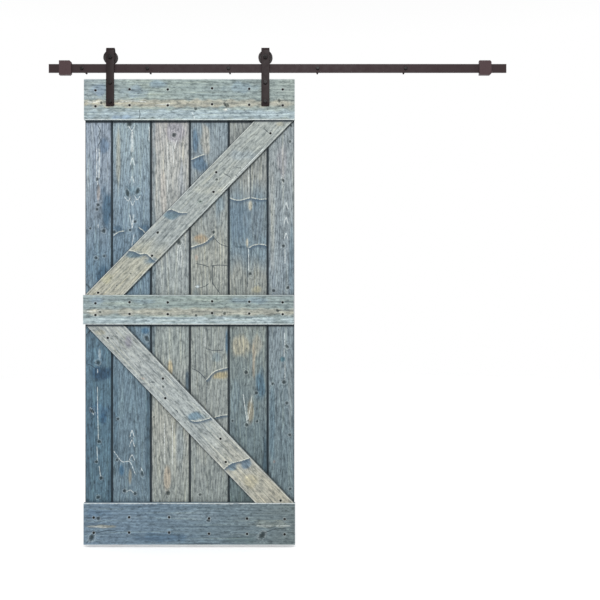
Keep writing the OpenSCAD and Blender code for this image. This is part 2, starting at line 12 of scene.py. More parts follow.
import bmesh
import bpy
import numpy as np
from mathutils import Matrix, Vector


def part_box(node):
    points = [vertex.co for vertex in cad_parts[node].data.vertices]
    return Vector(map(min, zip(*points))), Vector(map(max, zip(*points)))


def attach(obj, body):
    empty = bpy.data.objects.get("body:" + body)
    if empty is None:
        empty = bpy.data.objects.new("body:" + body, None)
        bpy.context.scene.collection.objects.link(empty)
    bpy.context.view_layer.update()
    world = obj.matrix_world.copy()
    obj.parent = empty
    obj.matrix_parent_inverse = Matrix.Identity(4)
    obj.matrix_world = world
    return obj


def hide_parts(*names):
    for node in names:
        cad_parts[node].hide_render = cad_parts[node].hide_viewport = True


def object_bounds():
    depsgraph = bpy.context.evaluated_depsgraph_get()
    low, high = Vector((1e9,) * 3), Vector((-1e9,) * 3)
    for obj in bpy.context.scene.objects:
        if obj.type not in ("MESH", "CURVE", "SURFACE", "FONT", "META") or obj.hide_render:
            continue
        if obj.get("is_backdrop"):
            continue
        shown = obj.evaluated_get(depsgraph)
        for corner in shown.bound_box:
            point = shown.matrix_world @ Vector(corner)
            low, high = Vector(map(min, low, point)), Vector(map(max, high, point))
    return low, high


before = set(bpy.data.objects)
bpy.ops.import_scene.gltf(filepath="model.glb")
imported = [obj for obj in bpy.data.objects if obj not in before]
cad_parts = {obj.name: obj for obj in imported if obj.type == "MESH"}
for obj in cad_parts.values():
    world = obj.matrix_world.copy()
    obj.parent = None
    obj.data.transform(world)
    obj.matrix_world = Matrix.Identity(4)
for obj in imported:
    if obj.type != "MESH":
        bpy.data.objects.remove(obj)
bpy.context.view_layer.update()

LOG = logging.getLogger("barn_door")
MM = 0.001
FACE_NEAR = 1e-6
POLE = 0.02              # a radius under this, in mm, is a closed pole
CORE = 0.01              # the radius written where a profile meets its axis
THREAD_DEPTH = 0.6       # a thread's depth as a share of its pitch
ROWS_PER_TURN = 8        # mesh rows in one turn of a thread


# ---------------------------------------------------------------- frame and mesh helpers

def node_box(name: str) -> np.ndarray:
    """Gives a CAD node's lowest and highest corner as a 2 x 3 array in millimetres."""
    return np.array([list(corner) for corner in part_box(name)]) / MM


def node_points(name: str) -> np.ndarray:
    """Gives every vertex of a CAD node as an n x 3 array in millimetres.

    Args:
        name: the CAD node.

    Returns:
        An n x 3 array.
    """
    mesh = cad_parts[name].data
    flat = np.zeros(len(mesh.vertices) * 3)
    mesh.vertices.foreach_get("co", flat)
    return flat.reshape(-1, 3) / MM


def island_centres(name: str, apart: float) -> np.ndarray:
    """Finds the centre of each separate solid in a node of fasteners that lie along Y.

    Args:
        name: the CAD node.
        apart: points nearer than this in X and Z, in mm, belong to the same solid.

    Returns:
        An n x 2 array of (x, z) centres.
    """
    flat = node_points(name)[:, [0, 2]]
    centres: list[np.ndarray] = []
    while len(flat):
        near = np.hypot(*(flat - flat[0]).T) < apart
        group = flat[near]
        centres.append((group.min(axis=0) + group.max(axis=0)) / 2)
        flat = flat[~near]
    return np.array(centres)


def grid_quads(rows: int, cols: int, close_rows: bool, close_cols: bool) -> np.ndarray:
    """Lists the quads of a rows x cols grid, joined end to end where it closes.

    Args:
        rows: points along the first parameter.
        cols: points along the second parameter.
        close_rows: whether the last row meets the first.
        close_cols: whether the last column meets the first.

    Returns:
        An n x 4 array of point indices.
    """
    i = np.arange(rows if close_rows else rows - 1)[:, None]
    j = np.arange(cols if close_cols else cols - 1)[None, :]
    i2, j2 = (i + 1) % rows, (j + 1) % cols
    corners = [i * cols + j, i * cols + j2, i2 * cols + j2, i2 * cols + j]
    return np.stack([np.broadcast_to(c, (i.size, j.size)) for c in corners], axis=-1).reshape(-1, 4)


def outward(points: np.ndarray, faces: list[tuple[int, ...]]) -> list[tuple[int, ...]]:
    """Turns every face round if the closed surface encloses a negative volume.

    The volume is a sixth of the sum of a . (b x c) over the fan triangles of all faces.

    Args:
        points: an n x 3 array.
        faces: tuples of point indices.

    Returns:
        The faces, all turned round or none.
    """
    fans = [(f[0], f[k], f[k + 1]) for f in faces for k in range(1, len(f) - 1)]
    a, b, c = (points[np.array(fans)[:, k]] for k in range(3))
    volume = np.einsum("ij,ij->i", a, np.cross(b, c)).sum()
    return faces if volume > 0 else [tuple(reversed(f)) for f in faces]


def make_piece(name: str, points: np.ndarray, quads: np.ndarray, caps: list[list[int]],
               smooth_angle: float = 35.0) -> bpy.types.Object:
    """Makes a closed mesh object at the origin from points in millimetres.

    Args:
        name: the object's name.
        points: an n x 3 array in mm.
        quads: an m x 4 array of indices.
        caps: further faces, each a list of indices.
        smooth_angle: edges sharper than this, in degrees, stay sharp.

    Returns:
        The new object, linked to the scene.
    """
    faces = outward(points, [tuple(q) for q in quads.tolist()] + [tuple(c) for c in caps])
    mesh = bpy.data.meshes.new(name)
    mesh.from_pydata((points * MM).tolist(), [], faces)
    tidy = bmesh.new()
    tidy.from_mesh(mesh)
    bmesh.ops.remove_doubles(tidy, verts=tidy.verts, dist=FACE_NEAR)
    bmesh.ops.dissolve_degenerate(tidy, edges=tidy.edges, dist=FACE_NEAR)
    tidy.to_mesh(mesh)
    tidy.free()
    smooth(mesh, smooth_angle)
    piece = bpy.data.objects.new(name, mesh)
    bpy.context.scene.collection.objects.link(piece)
    return piece


def smooth(mesh: bpy.types.Mesh, angle: float) -> None:
    """Shades a mesh smooth and keeps edges sharper than the angle, in degrees, sharp."""
    mesh.polygons.foreach_set("use_smooth", np.ones(len(mesh.polygons), bool))
    mesh.set_sharp_from_angle(angle=math.radians(angle))


def merged_copy(node: str, name: str, bevel: float) -> bpy.types.Object:
    """Copies a CAD node's mesh into a new piece, merges its loose corners and eases its edges.

    Args:
        node: the CAD node to copy.
        name: the new piece's name.
        bevel: the width of the eased edge in mm.

    Returns:
        The new piece.
    """
    piece = bpy.data.objects.new(name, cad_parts[node].data.copy())
    piece.data.name = name
    bpy.context.scene.collection.objects.link(piece)
    tidy = bmesh.new()
    tidy.from_mesh(piece.data)
    bmesh.ops.remove_doubles(tidy, verts=tidy.verts, dist=1e-5)
    bmesh.ops.dissolve_limit(tidy, angle_limit=math.radians(1), verts=tidy.verts, edges=tidy.edges)
    tidy.to_mesh(piece.data)
    tidy.free()
    ease = piece.modifiers.new("eased_edges", "BEVEL")
    ease.width = bevel * MM
    ease.segments = 2
    ease.limit_method = "ANGLE"
    ease.angle_limit = math.radians(30)
    ease.harden_normals = True
    smooth(piece.data, 30)
    return piece


def cut(piece: bpy.types.Object, cutters: list[bpy.types.Object]) -> None:
    """Takes the cutters out of a piece, applies the result and deletes the cutters.

    Args:
        piece: the piece to cut.
        cutters: closed objects, which are used up.
    """
    for tool in cutters:
        step = piece.modifiers.new("cut", "BOOLEAN")
        step.operation = "DIFFERENCE"
        step.solver = "EXACT"
        step.object = tool
    graph = bpy.context.evaluated_depsgraph_get()
    mesh = bpy.data.meshes.new_from_object(piece.evaluated_get(graph))
    piece.modifiers.clear()
    old, piece.data = piece.data, mesh
    mesh.name = piece.name
    bpy.data.meshes.remove(old)
    for tool in cutters:
        shape = tool.data
        bpy.data.objects.remove(tool)
        bpy.data.meshes.remove(shape)


def dress(piece: bpy.types.Object, finish: bpy.types.Material, body: str,
          replaced: list[str]) -> bpy.types.Object:
    """Gives a new piece its material and body, and hides the nodes it stands for.

    Args:
        piece: the new piece.
        finish: its material.
        body: the body it rides.
        replaced: the CAD nodes it stands for.

    Returns:
        The same piece.
    """
    piece.data.materials.clear()
    piece.data.materials.append(finish)
    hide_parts(*replaced)
    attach(piece, body)
    LOG.info("%s: %d faces, rides on %s", piece.name, len(piece.data.polygons), body)
    return piece


# ---------------------------------------------------------------- turned and bent shapes

def turned(name: str, profile: np.ndarray, centre: tuple[float, float], cols: int = 48,
           flats: np.ndarray | None = None, turn: float = 0.0,
           bored: bool = False) -> bpy.types.Object:
    """Turns a profile about an axis along Y.

    The surface is (x, y, z) = (cx + r cos q, y(s), cz + r sin q), where r is the profile's radius,
    or the distance to a hexagon, flats / 2 / cos(((q - turn) mod 60 deg) - 30 deg), if that is less.

    Args:
        name: the piece's name.
        profile: an n x 2 array of (y, radius) in mm, or n x cols x 2 where the radius has a thread.
        centre: (x, z) of the axis in mm.
        cols: points round the axis, a multiple of six where there is a hexagon.
        flats: width across flats at each row in mm, infinite where the row is round.
        turn: angle of the hexagon's first corner, in degrees.
        bored: whether the profile is a closed loop round a bore.

    Returns:
        The new piece.
    """
    q = np.arange(cols) * 2 * math.pi / cols
    shape = profile if profile.ndim == 3 else np.repeat(profile[:, None, :], cols, axis=1)
    y, radius = shape[..., 0], shape[..., 1]
    if flats is not None:
        inside = np.mod(q - math.radians(turn), math.pi / 3) - math.pi / 6
        radius = np.minimum(radius, flats[:, None] / 2 / np.cos(inside)[None, :])
    radius = np.where(radius > POLE, radius, 0.0)
    points = np.stack([centre[0] + radius * np.cos(q), y, centre[1] + radius * np.sin(q)], axis=-1)
    quads = grid_quads(len(shape), cols, bored, True)
    return make_piece(name, points.reshape(-1, 3), quads, [])


def threaded(start: float, end: float, major: float, pitch: float, cols: int) -> np.ndarray:
    """Gives the rows of a screw thread.

    The radius is major - depth * |2 frac(y / pitch + q / 2 pi) - 1|, with depth THREAD_DEPTH of the
    pitch, and the groove fades in over the first pitch.

    Args:
        start: y of the first row in mm.
        end: y of the last row in mm.
        major: the thread's outer radius in mm.
        pitch: distance between turns in mm.
        cols: points round the axis.

    Returns:
        An n x cols x 2 array of (y, radius).
    """
    rows = int(abs(end - start) / pitch * ROWS_PER_TURN) + 2
    y = np.linspace(start, end, rows)[:, None]
    turn = np.arange(cols)[None, :] / cols
    saw = np.abs(2 * np.mod((y - start) / pitch * np.sign(end - start) + turn, 1) - 1)
    run_in = np.clip(np.abs(y - start) / pitch, 0, 1)
    radius = major - THREAD_DEPTH * pitch * saw * run_in
    return np.stack([np.broadcast_to(y, radius.shape), radius], axis=-1)


def round_corners(corners: list[tuple[float, float]], radius: float, steps: int = 3,
                  closed: bool = False) -> np.ndarray:
    """Rounds the corners of a polyline with quadratic curves.

    Each inner corner c between neighbours a and b becomes (1-t)^2 p + 2 t (1-t) c + t^2 q, where p
    and q lie at the radius, or a third of the side if that is less, from c towards a and b.

    Args:
        corners: the polyline's points.
        radius: how far from the corner the curve starts.
        steps: segments in each curve.
        closed: whether the last point joins the first.

    Returns:
        An n x 2 array of points.
    """
    c = np.array(corners, float)
    before, after = np.roll(c, 1, axis=0), np.roll(c, -1, axis=0)
    t = np.linspace(0, 1, steps + 1)[None, :, None]

    def toward(other: np.ndarray) -> np.ndarray:
        """Gives the point near each corner on the side towards another point.

        Args:
            other: the neighbour of each corner.

        Returns:
            The curve's end on that side.
        """
        side = other - c
        length = np.linalg.norm(side, axis=1, keepdims=True)
        return c + side / np.maximum(length, 1e-9) * np.minimum(radius, length / 3)

    p, q = toward(before)[:, None], toward(after)[:, None]
    curve = (1 - t) ** 2 * p + 2 * t * (1 - t) * c[:, None] + t ** 2 * q
    if closed:
        return curve.reshape(-1, 2)
    return np.concatenate([c[:1], curve[1:-1].reshape(-1, 2), c[-1:]])


# ---------------------------------------------------------------- finishes

def linear(colour: str) -> tuple[float, float, float, float]:
    """Turns an sRGB hex colour into linear red, green, blue and alpha.

    Args:
        colour: a hash sign and six hex digits.

    Returns:
        Four numbers from 0 to 1.
    """
    parts = [int(colour[i:i + 2], 16) / 255 for i in (1, 3, 5)]
    red, green, blue = (c / 12.92 if c <= 0.04045 else ((c + 0.055) / 1.055) ** 2.4 for c in parts)
    return red, green, blue, 1.0


def add(tree: bpy.types.NodeTree, kind: str, inputs: dict | None = None, **settings) -> bpy.types.Node:
    """Adds a node to a material.

    Args:
        tree: the material's node tree.
        kind: the node's type, without its ShaderNode prefix.
        inputs: what each input, by name or index, is set to or linked from.
        settings: the node's own properties; stops is a list of (position, hex) for a colour ramp.

    Returns:
        The new node.
    """
    node = tree.nodes.new("ShaderNode" + kind)
    for position, colour in settings.pop("stops", []):
        elements = node.color_ramp.elements
        first = elements[0] if position == 0 else elements[-1] if position == 1 else elements.new(position)
        first.color = linear(colour)
    for key, value in settings.items():
        setattr(node, key, value)
    for key, value in (inputs or {}).items():
        if isinstance(value, bpy.types.NodeSocket):
            tree.links.new(value, node.inputs[key])
        else:
            node.inputs[key].default_value = value
    return node


def new_material(name: str) -> tuple[bpy.types.Material, bpy.types.Node]:
    """Makes a material and gives it with its shader node.

    Args:
        name: the material's name.

    Returns:
        The material and its Principled node.
    """
    material = bpy.data.materials.new(name)
    material.use_nodes = True
    return material, material.node_tree.nodes["Principled BSDF"]


class Process(Enum):
    """How a metal's surface was made, which sets its patterns."""
    POWDER_COATED = "powder coated"
    TURNED = "turned"
    BLACKED = "blacked"
    PLATED = "plated"


@dataclass(frozen=True)
class MetalFinish:
    """A metal surface: a colour, a second colour in soft clouds, and a fine pattern of its making."""
    name: str
    process: Process
    colour: str
    cloud: str
    metallic: float
    roughness: float
    grit_mm: float
    bump_mm: float
    cloud_mm: float = 22.0
    lay: float = 14.0          # how much finer a turned surface's rings are along the axis
    fleck: tuple[float, float] = (0.86, 1.12)
    swing: float = 0.07        # how far the clouds move the roughness either way
    dull: float = 0.18         # the specular level of a coat

    def build(self) -> bpy.types.Material:
        """Builds the material from Object coordinates, with grit and cloud sizes in millimetres.

        Returns:
            The material.
        """
        material, shader = new_material(self.name)
        tree = material.node_tree
        place = add(tree, "TexCoord").outputs["Object"]
        stretch = (1.0, 1.0, 1.0) if self.process is not Process.TURNED else (1.0, self.lay, 1.0)
        laid = add(tree, "Mapping", {"Vector": place, "Scale": stretch}).outputs["Vector"]
        clouds = add(tree, "TexNoise", {"Vector": place, "Scale": 1 / (self.cloud_mm * MM), "Detail": 4.0})
        grit = add(tree, "TexNoise", {"Vector": laid, "Scale": 1 / (self.grit_mm * MM), "Detail": 2.0})
        ramp = add(tree, "ValToRGB", {"Fac": clouds.outputs["Fac"]},
                   stops=[(0, self.cloud), (0.42, self.colour), (0.62, self.colour), (1, self.cloud)])
        fleck = add(tree, "MapRange", {"Value": grit.outputs["Fac"], "From Min": 0.3, "From Max": 0.7,
                                       "To Min": self.fleck[0], "To Max": self.fleck[1]})
        tint = add(tree, "VectorMath", {0: ramp.outputs["Color"], "Scale": fleck.outputs["Result"]},
                   operation="SCALE")
        rough = add(tree, "MapRange", {"Value": clouds.outputs["Fac"], "From Min": 0.3, "From Max": 0.7,
                                       "To Min": self.roughness - self.swing,
                                       "To Max": self.roughness + self.swing})
        bump = add(tree, "Bump", {"Height": grit.outputs["Fac"], "Distance": self.bump_mm * MM,
                                  "Strength": 0.6})
        tree.links.new(tint.outputs["Vector"], shader.inputs["Base Color"])
        tree.links.new(rough.outputs["Result"], shader.inputs["Roughness"])
        tree.links.new(bump.outputs["Normal"], shader.inputs["Normal"])
        shader.inputs["Metallic"].default_value = self.metallic
        if not self.metallic:
            shader.inputs["Specular IOR Level"].default_value = self.dull
        return material


# Each record slot's metal.  The grit of powder is about 0.3 mm and is drawn at 1.2 mm to show.
METALS = {
    # Steel under an oil-rubbed bronze powder coat: satin, warm brown-black, faint orange peel.
    "bronze_steel": MetalFinish("bronze_powder_coated_steel", Process.POWDER_COATED,
                                "#2a1d1f", "#24181a", 0.0, 0.5, 1.2, 0.05),
    # The stops' top faces are rubbed by handling, so their coat is paler and browner.
    "rubbed_stop": MetalFinish("bronze_powder_coated_stop", Process.POWDER_COATED,
                               "#3f2f31", "#362829", 0.0, 0.5, 1.2, 0.05),
    # The straps' thicker coat is darker and a little redder than the bar's.
    "strap_bronze": MetalFinish("bronze_powder_coated_strap", Process.POWDER_COATED,
                                "#1c1011", "#160c0d", 0.0, 0.46, 1.2, 0.05),
    # Forged heads dipped in the same coat: darker, with more wear between the flats.
    "dark_bronze_fixings": MetalFinish("bronze_coated_bolt_steel", Process.POWDER_COATED,
                                       "#120e0e", "#0c0a0a", 0.0, 0.36, 0.9, 0.04),
    # Wheels turned on a lathe before coating: fine rings show through and catch the light.
    "dark_bronze_wheel": MetalFinish("turned_bronze_coated_wheel", Process.TURNED,
                                     "#251f1f", "#1b1716", 0.0, 0.42, 1.0, 0.05),
    # Phosphated wood screws: matt black with a slight brown bloom.
    "black_screws": MetalFinish("black_phosphated_steel", Process.BLACKED,
                                "#0c0b0c", "#121010", 0.0, 0.6, 0.6, 0.03),
    # Zinc plate: bright cool grey with dull clouds.
    "zinc_fixings": MetalFinish("zinc_plated_steel", Process.PLATED,
                                "#a9abac", "#8f9396", 0.9, 0.36, 0.8, 0.02),
    # Ground bearing rings: near-mirror steel with a faint ring lay.
    "bearing_steel": MetalFinish("ground_bearing_steel", Process.TURNED,
                                 "#b4b5b7", "#a0a3a6", 1.0, 0.22, 0.5, 0.01),
    # A pressed ball cage in brass: yellow and slightly dull.
    "brass_cage": MetalFinish("pressed_brass", Process.PLATED,
                              "#b89a55", "#9c7f40", 1.0, 0.34, 0.8, 0.02),
}


# Soft steps in the pine's masks: (pattern, from, to, mask at from, mask at to).
PINE_STEPS = {
    "fibre_shade": ("fibre", 0.30, 0.62, 0.46, 0.0),
    "tan_streak": ("streak", 0.50, 0.74, 0.0, 0.7),
    "blue_streak": ("streak", 0.26, 0.46, 0.7, 0.0),
    "wiped_here": ("streak", 0.38, 0.66, 0.15, 0.75),
    "pale_speck": ("speck", 0.56, 0.72, 0.0, 0.6),
    "dark_speck": ("speck", 0.28, 0.44, 0.7, 0.0),
    "broken": ("speck", 0.36, 0.58, 0.3, 1.0),
    "mottle_pale": ("mottle", 0.50, 0.70, 0.0, 0.75),
    "mottle_dark": ("mottle", 0.30, 0.50, 0.75, 0.0),
    "lip_here": ("lip_reach", 0.05, 0.70, 0.0, 1.0),
    "stroke_here": ("stroke_reach", 0.25, 0.60, 0.0, 1.0),
    "split_here": ("split_reach", 0.25, 0.60, 0.0, 1.0),
    "knot_ring": ("knot", -0.35, 0.2, 0.0, 0.8),
    "knot_core": ("knot", 0.15, 0.75, 0.0, 0.85),
    "screw_halo": ("screw", 7.0, 10.5, 0.22, 0.0),
    # painted shade: a dark ring round each screw hole, standing in for the shade of a dimple that is not
    # modelled
    "screw_painted_shade": ("screw", 5.4, 7.0, 0.95, 0.0),
    # painted shade: dark under and above rails, beside braces, in V edges and on rail undersides
    "painted_shade_cover": ("pool", 0.06, 0.94, 0.0, 0.95),
    # a paler band within about 3 mm of the front face's edges on rails and braces
    "pale_edge": ("edge", 0.8, 2.8, 0.35, 0.0),
}
# Bands: (pattern, rise from, rise to, fall from, fall to, strength), then steps that limit them.
PINE_BANDS = {
    "late": ("ring", 0.55, 0.93, 0.93, 1.00, 0.6),
    "wiped": ("ring", 0.05, 0.20, 0.20, 0.50, 0.6, "wiped_here"),
    # painted shadow below a torn lip's edge
    "shadow": ("lip", -19.0, -2.5, -0.8, 0.2, 0.8, "lip_here"),
    # painted highlight along a torn lip's raised edge
    "lip_highlight": ("lip", -1.0, 0.6, 1.0, 6.0, 0.72, "lip_here", "broken"),
    # pale lines in the wood; strokes along a rail's or brace's edge are painted highlights
    "stroke_pale_and_highlight": ("stroke", -2.1, -0.6, 0.6, 2.1, 0.75, "stroke_here", "broken"),
    "split_dark": ("split", -2.0, -0.7, 0.7, 2.0, 0.9, "split_here"),
    "knot_rim": ("knot", -0.9, -0.4, -0.40, -0.05, 0.12),
}
# Distances in mm that the specks make ragged: (attribute, part, by how much).
PINE_RAGGED = {
    "split": ("lines", "X", 2.0), "stroke": ("lines", "Y", 2.5), "lip": ("lines", "Z", 7.0),
    "knot": ("spots", "X", 1.9), "screw": ("spots", "Y", 2.0), "edge": ("spots", "Z", 2.0),
}
# How many rings the fibre and the streaks push a growth line aside.
PINE_WAVER = {"fibre": 0.55, "streak": 0.8}
# What is laid over the stain, in order: (mask, blend, colour).
PINE_LAYERS = [
    ("fibre_shade", "MULTIPLY", "#b8bbba"),
    ("tan_streak", "OVERLAY", "#d3cec2"),
    ("blue_streak", "MULTIPLY", "#a3adb3"),
    ("mottle_pale", "OVERLAY", "#d6d6d4"),
    ("mottle_dark", "MULTIPLY", "#a6adb0"),
    ("late", "MULTIPLY", "#9aa4a9"),
    ("wiped", "OVERLAY", "#dededd"),
    ("pale_speck", "OVERLAY", "#e2e2e1"),
    ("dark_speck", "MULTIPLY", "#8f9597"),
    # painted shadow below a torn lip's edge
    ("shadow", "MIX", "#34495a"),
    # painted highlight along a torn lip's raised edge
    ("lip_highlight", "MIX", "#d3d5c9"),
    # pale lines in the wood; strokes along a rail's or brace's edge are painted highlights
    ("stroke_pale_and_highlight", "MIX", "#d6dcda"),
    ("split_dark", "MIX", "#1d2c36"),
    ("knot_rim", "MIX", "#d5dbd8"),
    ("knot_ring", "MULTIPLY", "#7d8684"),
    ("knot_core", "MIX", "#1f2a2e"),
    # a paler band within about 3 mm of the front face's edges on rails and braces
    ("pale_edge", "MIX", "#d3d9da"),
    ("screw_halo", "MIX", "#c6cccb"),
    # painted shade: dark under and above rails, beside braces, in V edges and on rail undersides
    ("painted_shade_cover", "MIX", "#17232b"),
    # painted shade: a dark ring round each screw hole, standing in for the shade of a dimple that is not
    # modelled
    ("screw_painted_shade", "MIX", "#0d1114"),
]


@dataclass(frozen=True)
class StainedPine:
    """Sawn pine under a blue-grey stain that was wiped back.

    The stain sinks into soft early wood and leaves the hard late-wood lines and knots pale or
    brown, so the eye sees thin growth lines over soft clouds of blue.  Torn lips get a painted
    highlight on their raised edge and a painted shadow below it, and painted shade darkens
    corners, rail undersides and screw holes.  Real pine fibres are 0.05 mm wide and are drawn
    at 1.6 mm, the finest that shows.
    """
    name: str
    fibre_mm: tuple[float, float, float] = (70.0, 1.6, 1.6)
    streak_mm: tuple[float, float, float] = (260.0, 9.0, 9.0)
    speck_mm: tuple[float, float, float] = (9.0, 4.5, 4.5)
    mottle_mm: tuple[float, float, float] = (26.0, 11.0, 11.0)
    roughness: float = 0.68
    rough_swing: float = 0.24  # how much rougher the fibre's high parts are
    relief_mm: float = 0.6
    fibre_height: float = 0.6  # the fibre's height as a share of the relief
    split_depth: float = 1.6   # a split's depth as a share of the relief
    shine: float = 0.35
    line: float = 1.0          # how strongly the late-wood lines show

    def build(self) -> bpy.types.Material:
        """Builds the material from the boards' attributes: stain, place, growth, lines and so on.

        Returns:
            The material.
        """
        material, shader = new_material(self.name)
        tree = material.node_tree
        read = {n: add(tree, "Attribute", attribute_name=n).outputs
                for n in ("stain", "place", "growth", "lines", "reach", "spots", "pool")}
        pattern = self.patterns(tree, read)
        masks = self.masks(tree, pattern)
        colour = read["stain"]["Color"]
        for mask, kind, over in PINE_LAYERS:
            colour = add(tree, "Mix", {0: masks[mask], 6: colour, 7: linear(over)}, data_type="RGBA",
                         blend_type=kind, clamp_factor=True).outputs[2]
        raised = add(tree, "Math", {0: pattern["fibre"], 1: self.fibre_height, 2: masks["late"]},
                     operation="MULTIPLY_ADD")
        height = add(tree, "Math", {0: masks["split_dark"], 1: -self.split_depth, 2: raised.outputs[0]},
                     operation="MULTIPLY_ADD")
        bump = add(tree, "Bump", {"Height": height.outputs[0], "Distance": self.relief_mm * MM,
                                  "Strength": 0.8})
        rough = add(tree, "Math", {0: pattern["fibre"], 1: self.rough_swing,
                                   2: self.roughness - self.rough_swing / 2}, operation="MULTIPLY_ADD")
        tree.links.new(colour, shader.inputs["Base Color"])
        tree.links.new(rough.outputs[0], shader.inputs["Roughness"])
        tree.links.new(bump.outputs["Normal"], shader.inputs["Normal"])
        shader.inputs["Specular IOR Level"].default_value = self.shine
        return material

    def patterns(self, tree: bpy.types.NodeTree, read: dict) -> dict[str, bpy.types.NodeSocket]:
        """Makes the noises along the grain, the wavered growth rings and the ragged distances.

        Args:
            tree: the material's node tree.
            read: the attributes' outputs by name.

        Returns:
            A socket for each pattern.
        """
        split = {n: add(tree, "SeparateXYZ", {0: read[n]["Vector"]}).outputs
                 for n in ("lines", "reach", "spots")}
        # the painted shade attribute, darkest where boards meet and on undersides
        pattern = {"pool": read["pool"]["Fac"]}
        for name in ("fibre", "streak", "speck", "mottle"):
            scale = tuple(1 / (size * MM) for size in getattr(self, name + "_mm"))
            laid = add(tree, "Mapping", {"Vector": read["place"]["Vector"], "Scale": scale})
            pattern[name] = add(tree, "TexNoise", {"Vector": laid.outputs["Vector"], "Scale": 1.0,
                                                   "Detail": 3.0}).outputs["Fac"]
        waver = read["growth"]["Fac"]
        for name, much in PINE_WAVER.items():
            waver = add(tree, "Math", {0: pattern[name], 1: much, 2: waver},
                        operation="MULTIPLY_ADD").outputs[0]
        pattern["ring"] = add(tree, "Math", {0: waver}, operation="FRACT").outputs[0]
        centred = add(tree, "Math", {0: pattern["speck"], 1: 0.5}, operation="SUBTRACT").outputs[0]
        for name, (source, part, much) in PINE_RAGGED.items():
            pattern[name] = add(tree, "Math", {0: centred, 1: much, 2: split[source][part]},
                                operation="MULTIPLY_ADD").outputs[0]
        for name, part in (("split", "X"), ("stroke", "Y"), ("lip", "Z")):
            pattern[name + "_reach"] = split["reach"][part]
        return pattern

    def masks(self, tree: bpy.types.NodeTree, pattern: dict) -> dict[str, bpy.types.NodeSocket]:
        """Turns the patterns into masks by soft steps, and some of those into products.

        Args:
            tree: the material's node tree.
            pattern: a socket for each pattern.

        Returns:
            A socket for each mask, from 0 to 1.
        """
        steps, masks = dict(PINE_STEPS), {}
        for name, (source, start, full, fade, end, strength, *_) in PINE_BANDS.items():
            steps[name + "_rise"] = (source, start, full, 0.0, strength)
            steps[name + "_fall"] = (source, fade, end, 1.0, 0.0)
        for name, (source, low, high, at_low, at_high) in steps.items():
            ends = {"From Min": low, "From Max": high, "To Min": at_low, "To Max": at_high}
            masks[name] = add(tree, "MapRange", {"Value": pattern[source], **ends},
                              interpolation_type="SMOOTHSTEP").outputs["Result"]
        for name, band in PINE_BANDS.items():
            masks[name] = masks[name + "_rise"]
            for other in (name + "_fall", *band[6:]):
                masks[name] = add(tree, "Math", {0: masks[name], 1: masks[other]},
                                  operation="MULTIPLY").outputs[0]
        masks["late"] = add(tree, "Math", {0: masks["late"], 1: self.line},
                            operation="MULTIPLY").outputs[0]
        return masks


# ---------------------------------------------------------------- track and hardware

def node_centre(node: str) -> tuple[float, float]:
    """Gives the middle of a node's box in X and Z, in mm."""
    low, high = node_box(node)
    return tuple((low + high)[[0, 2]] / 2)


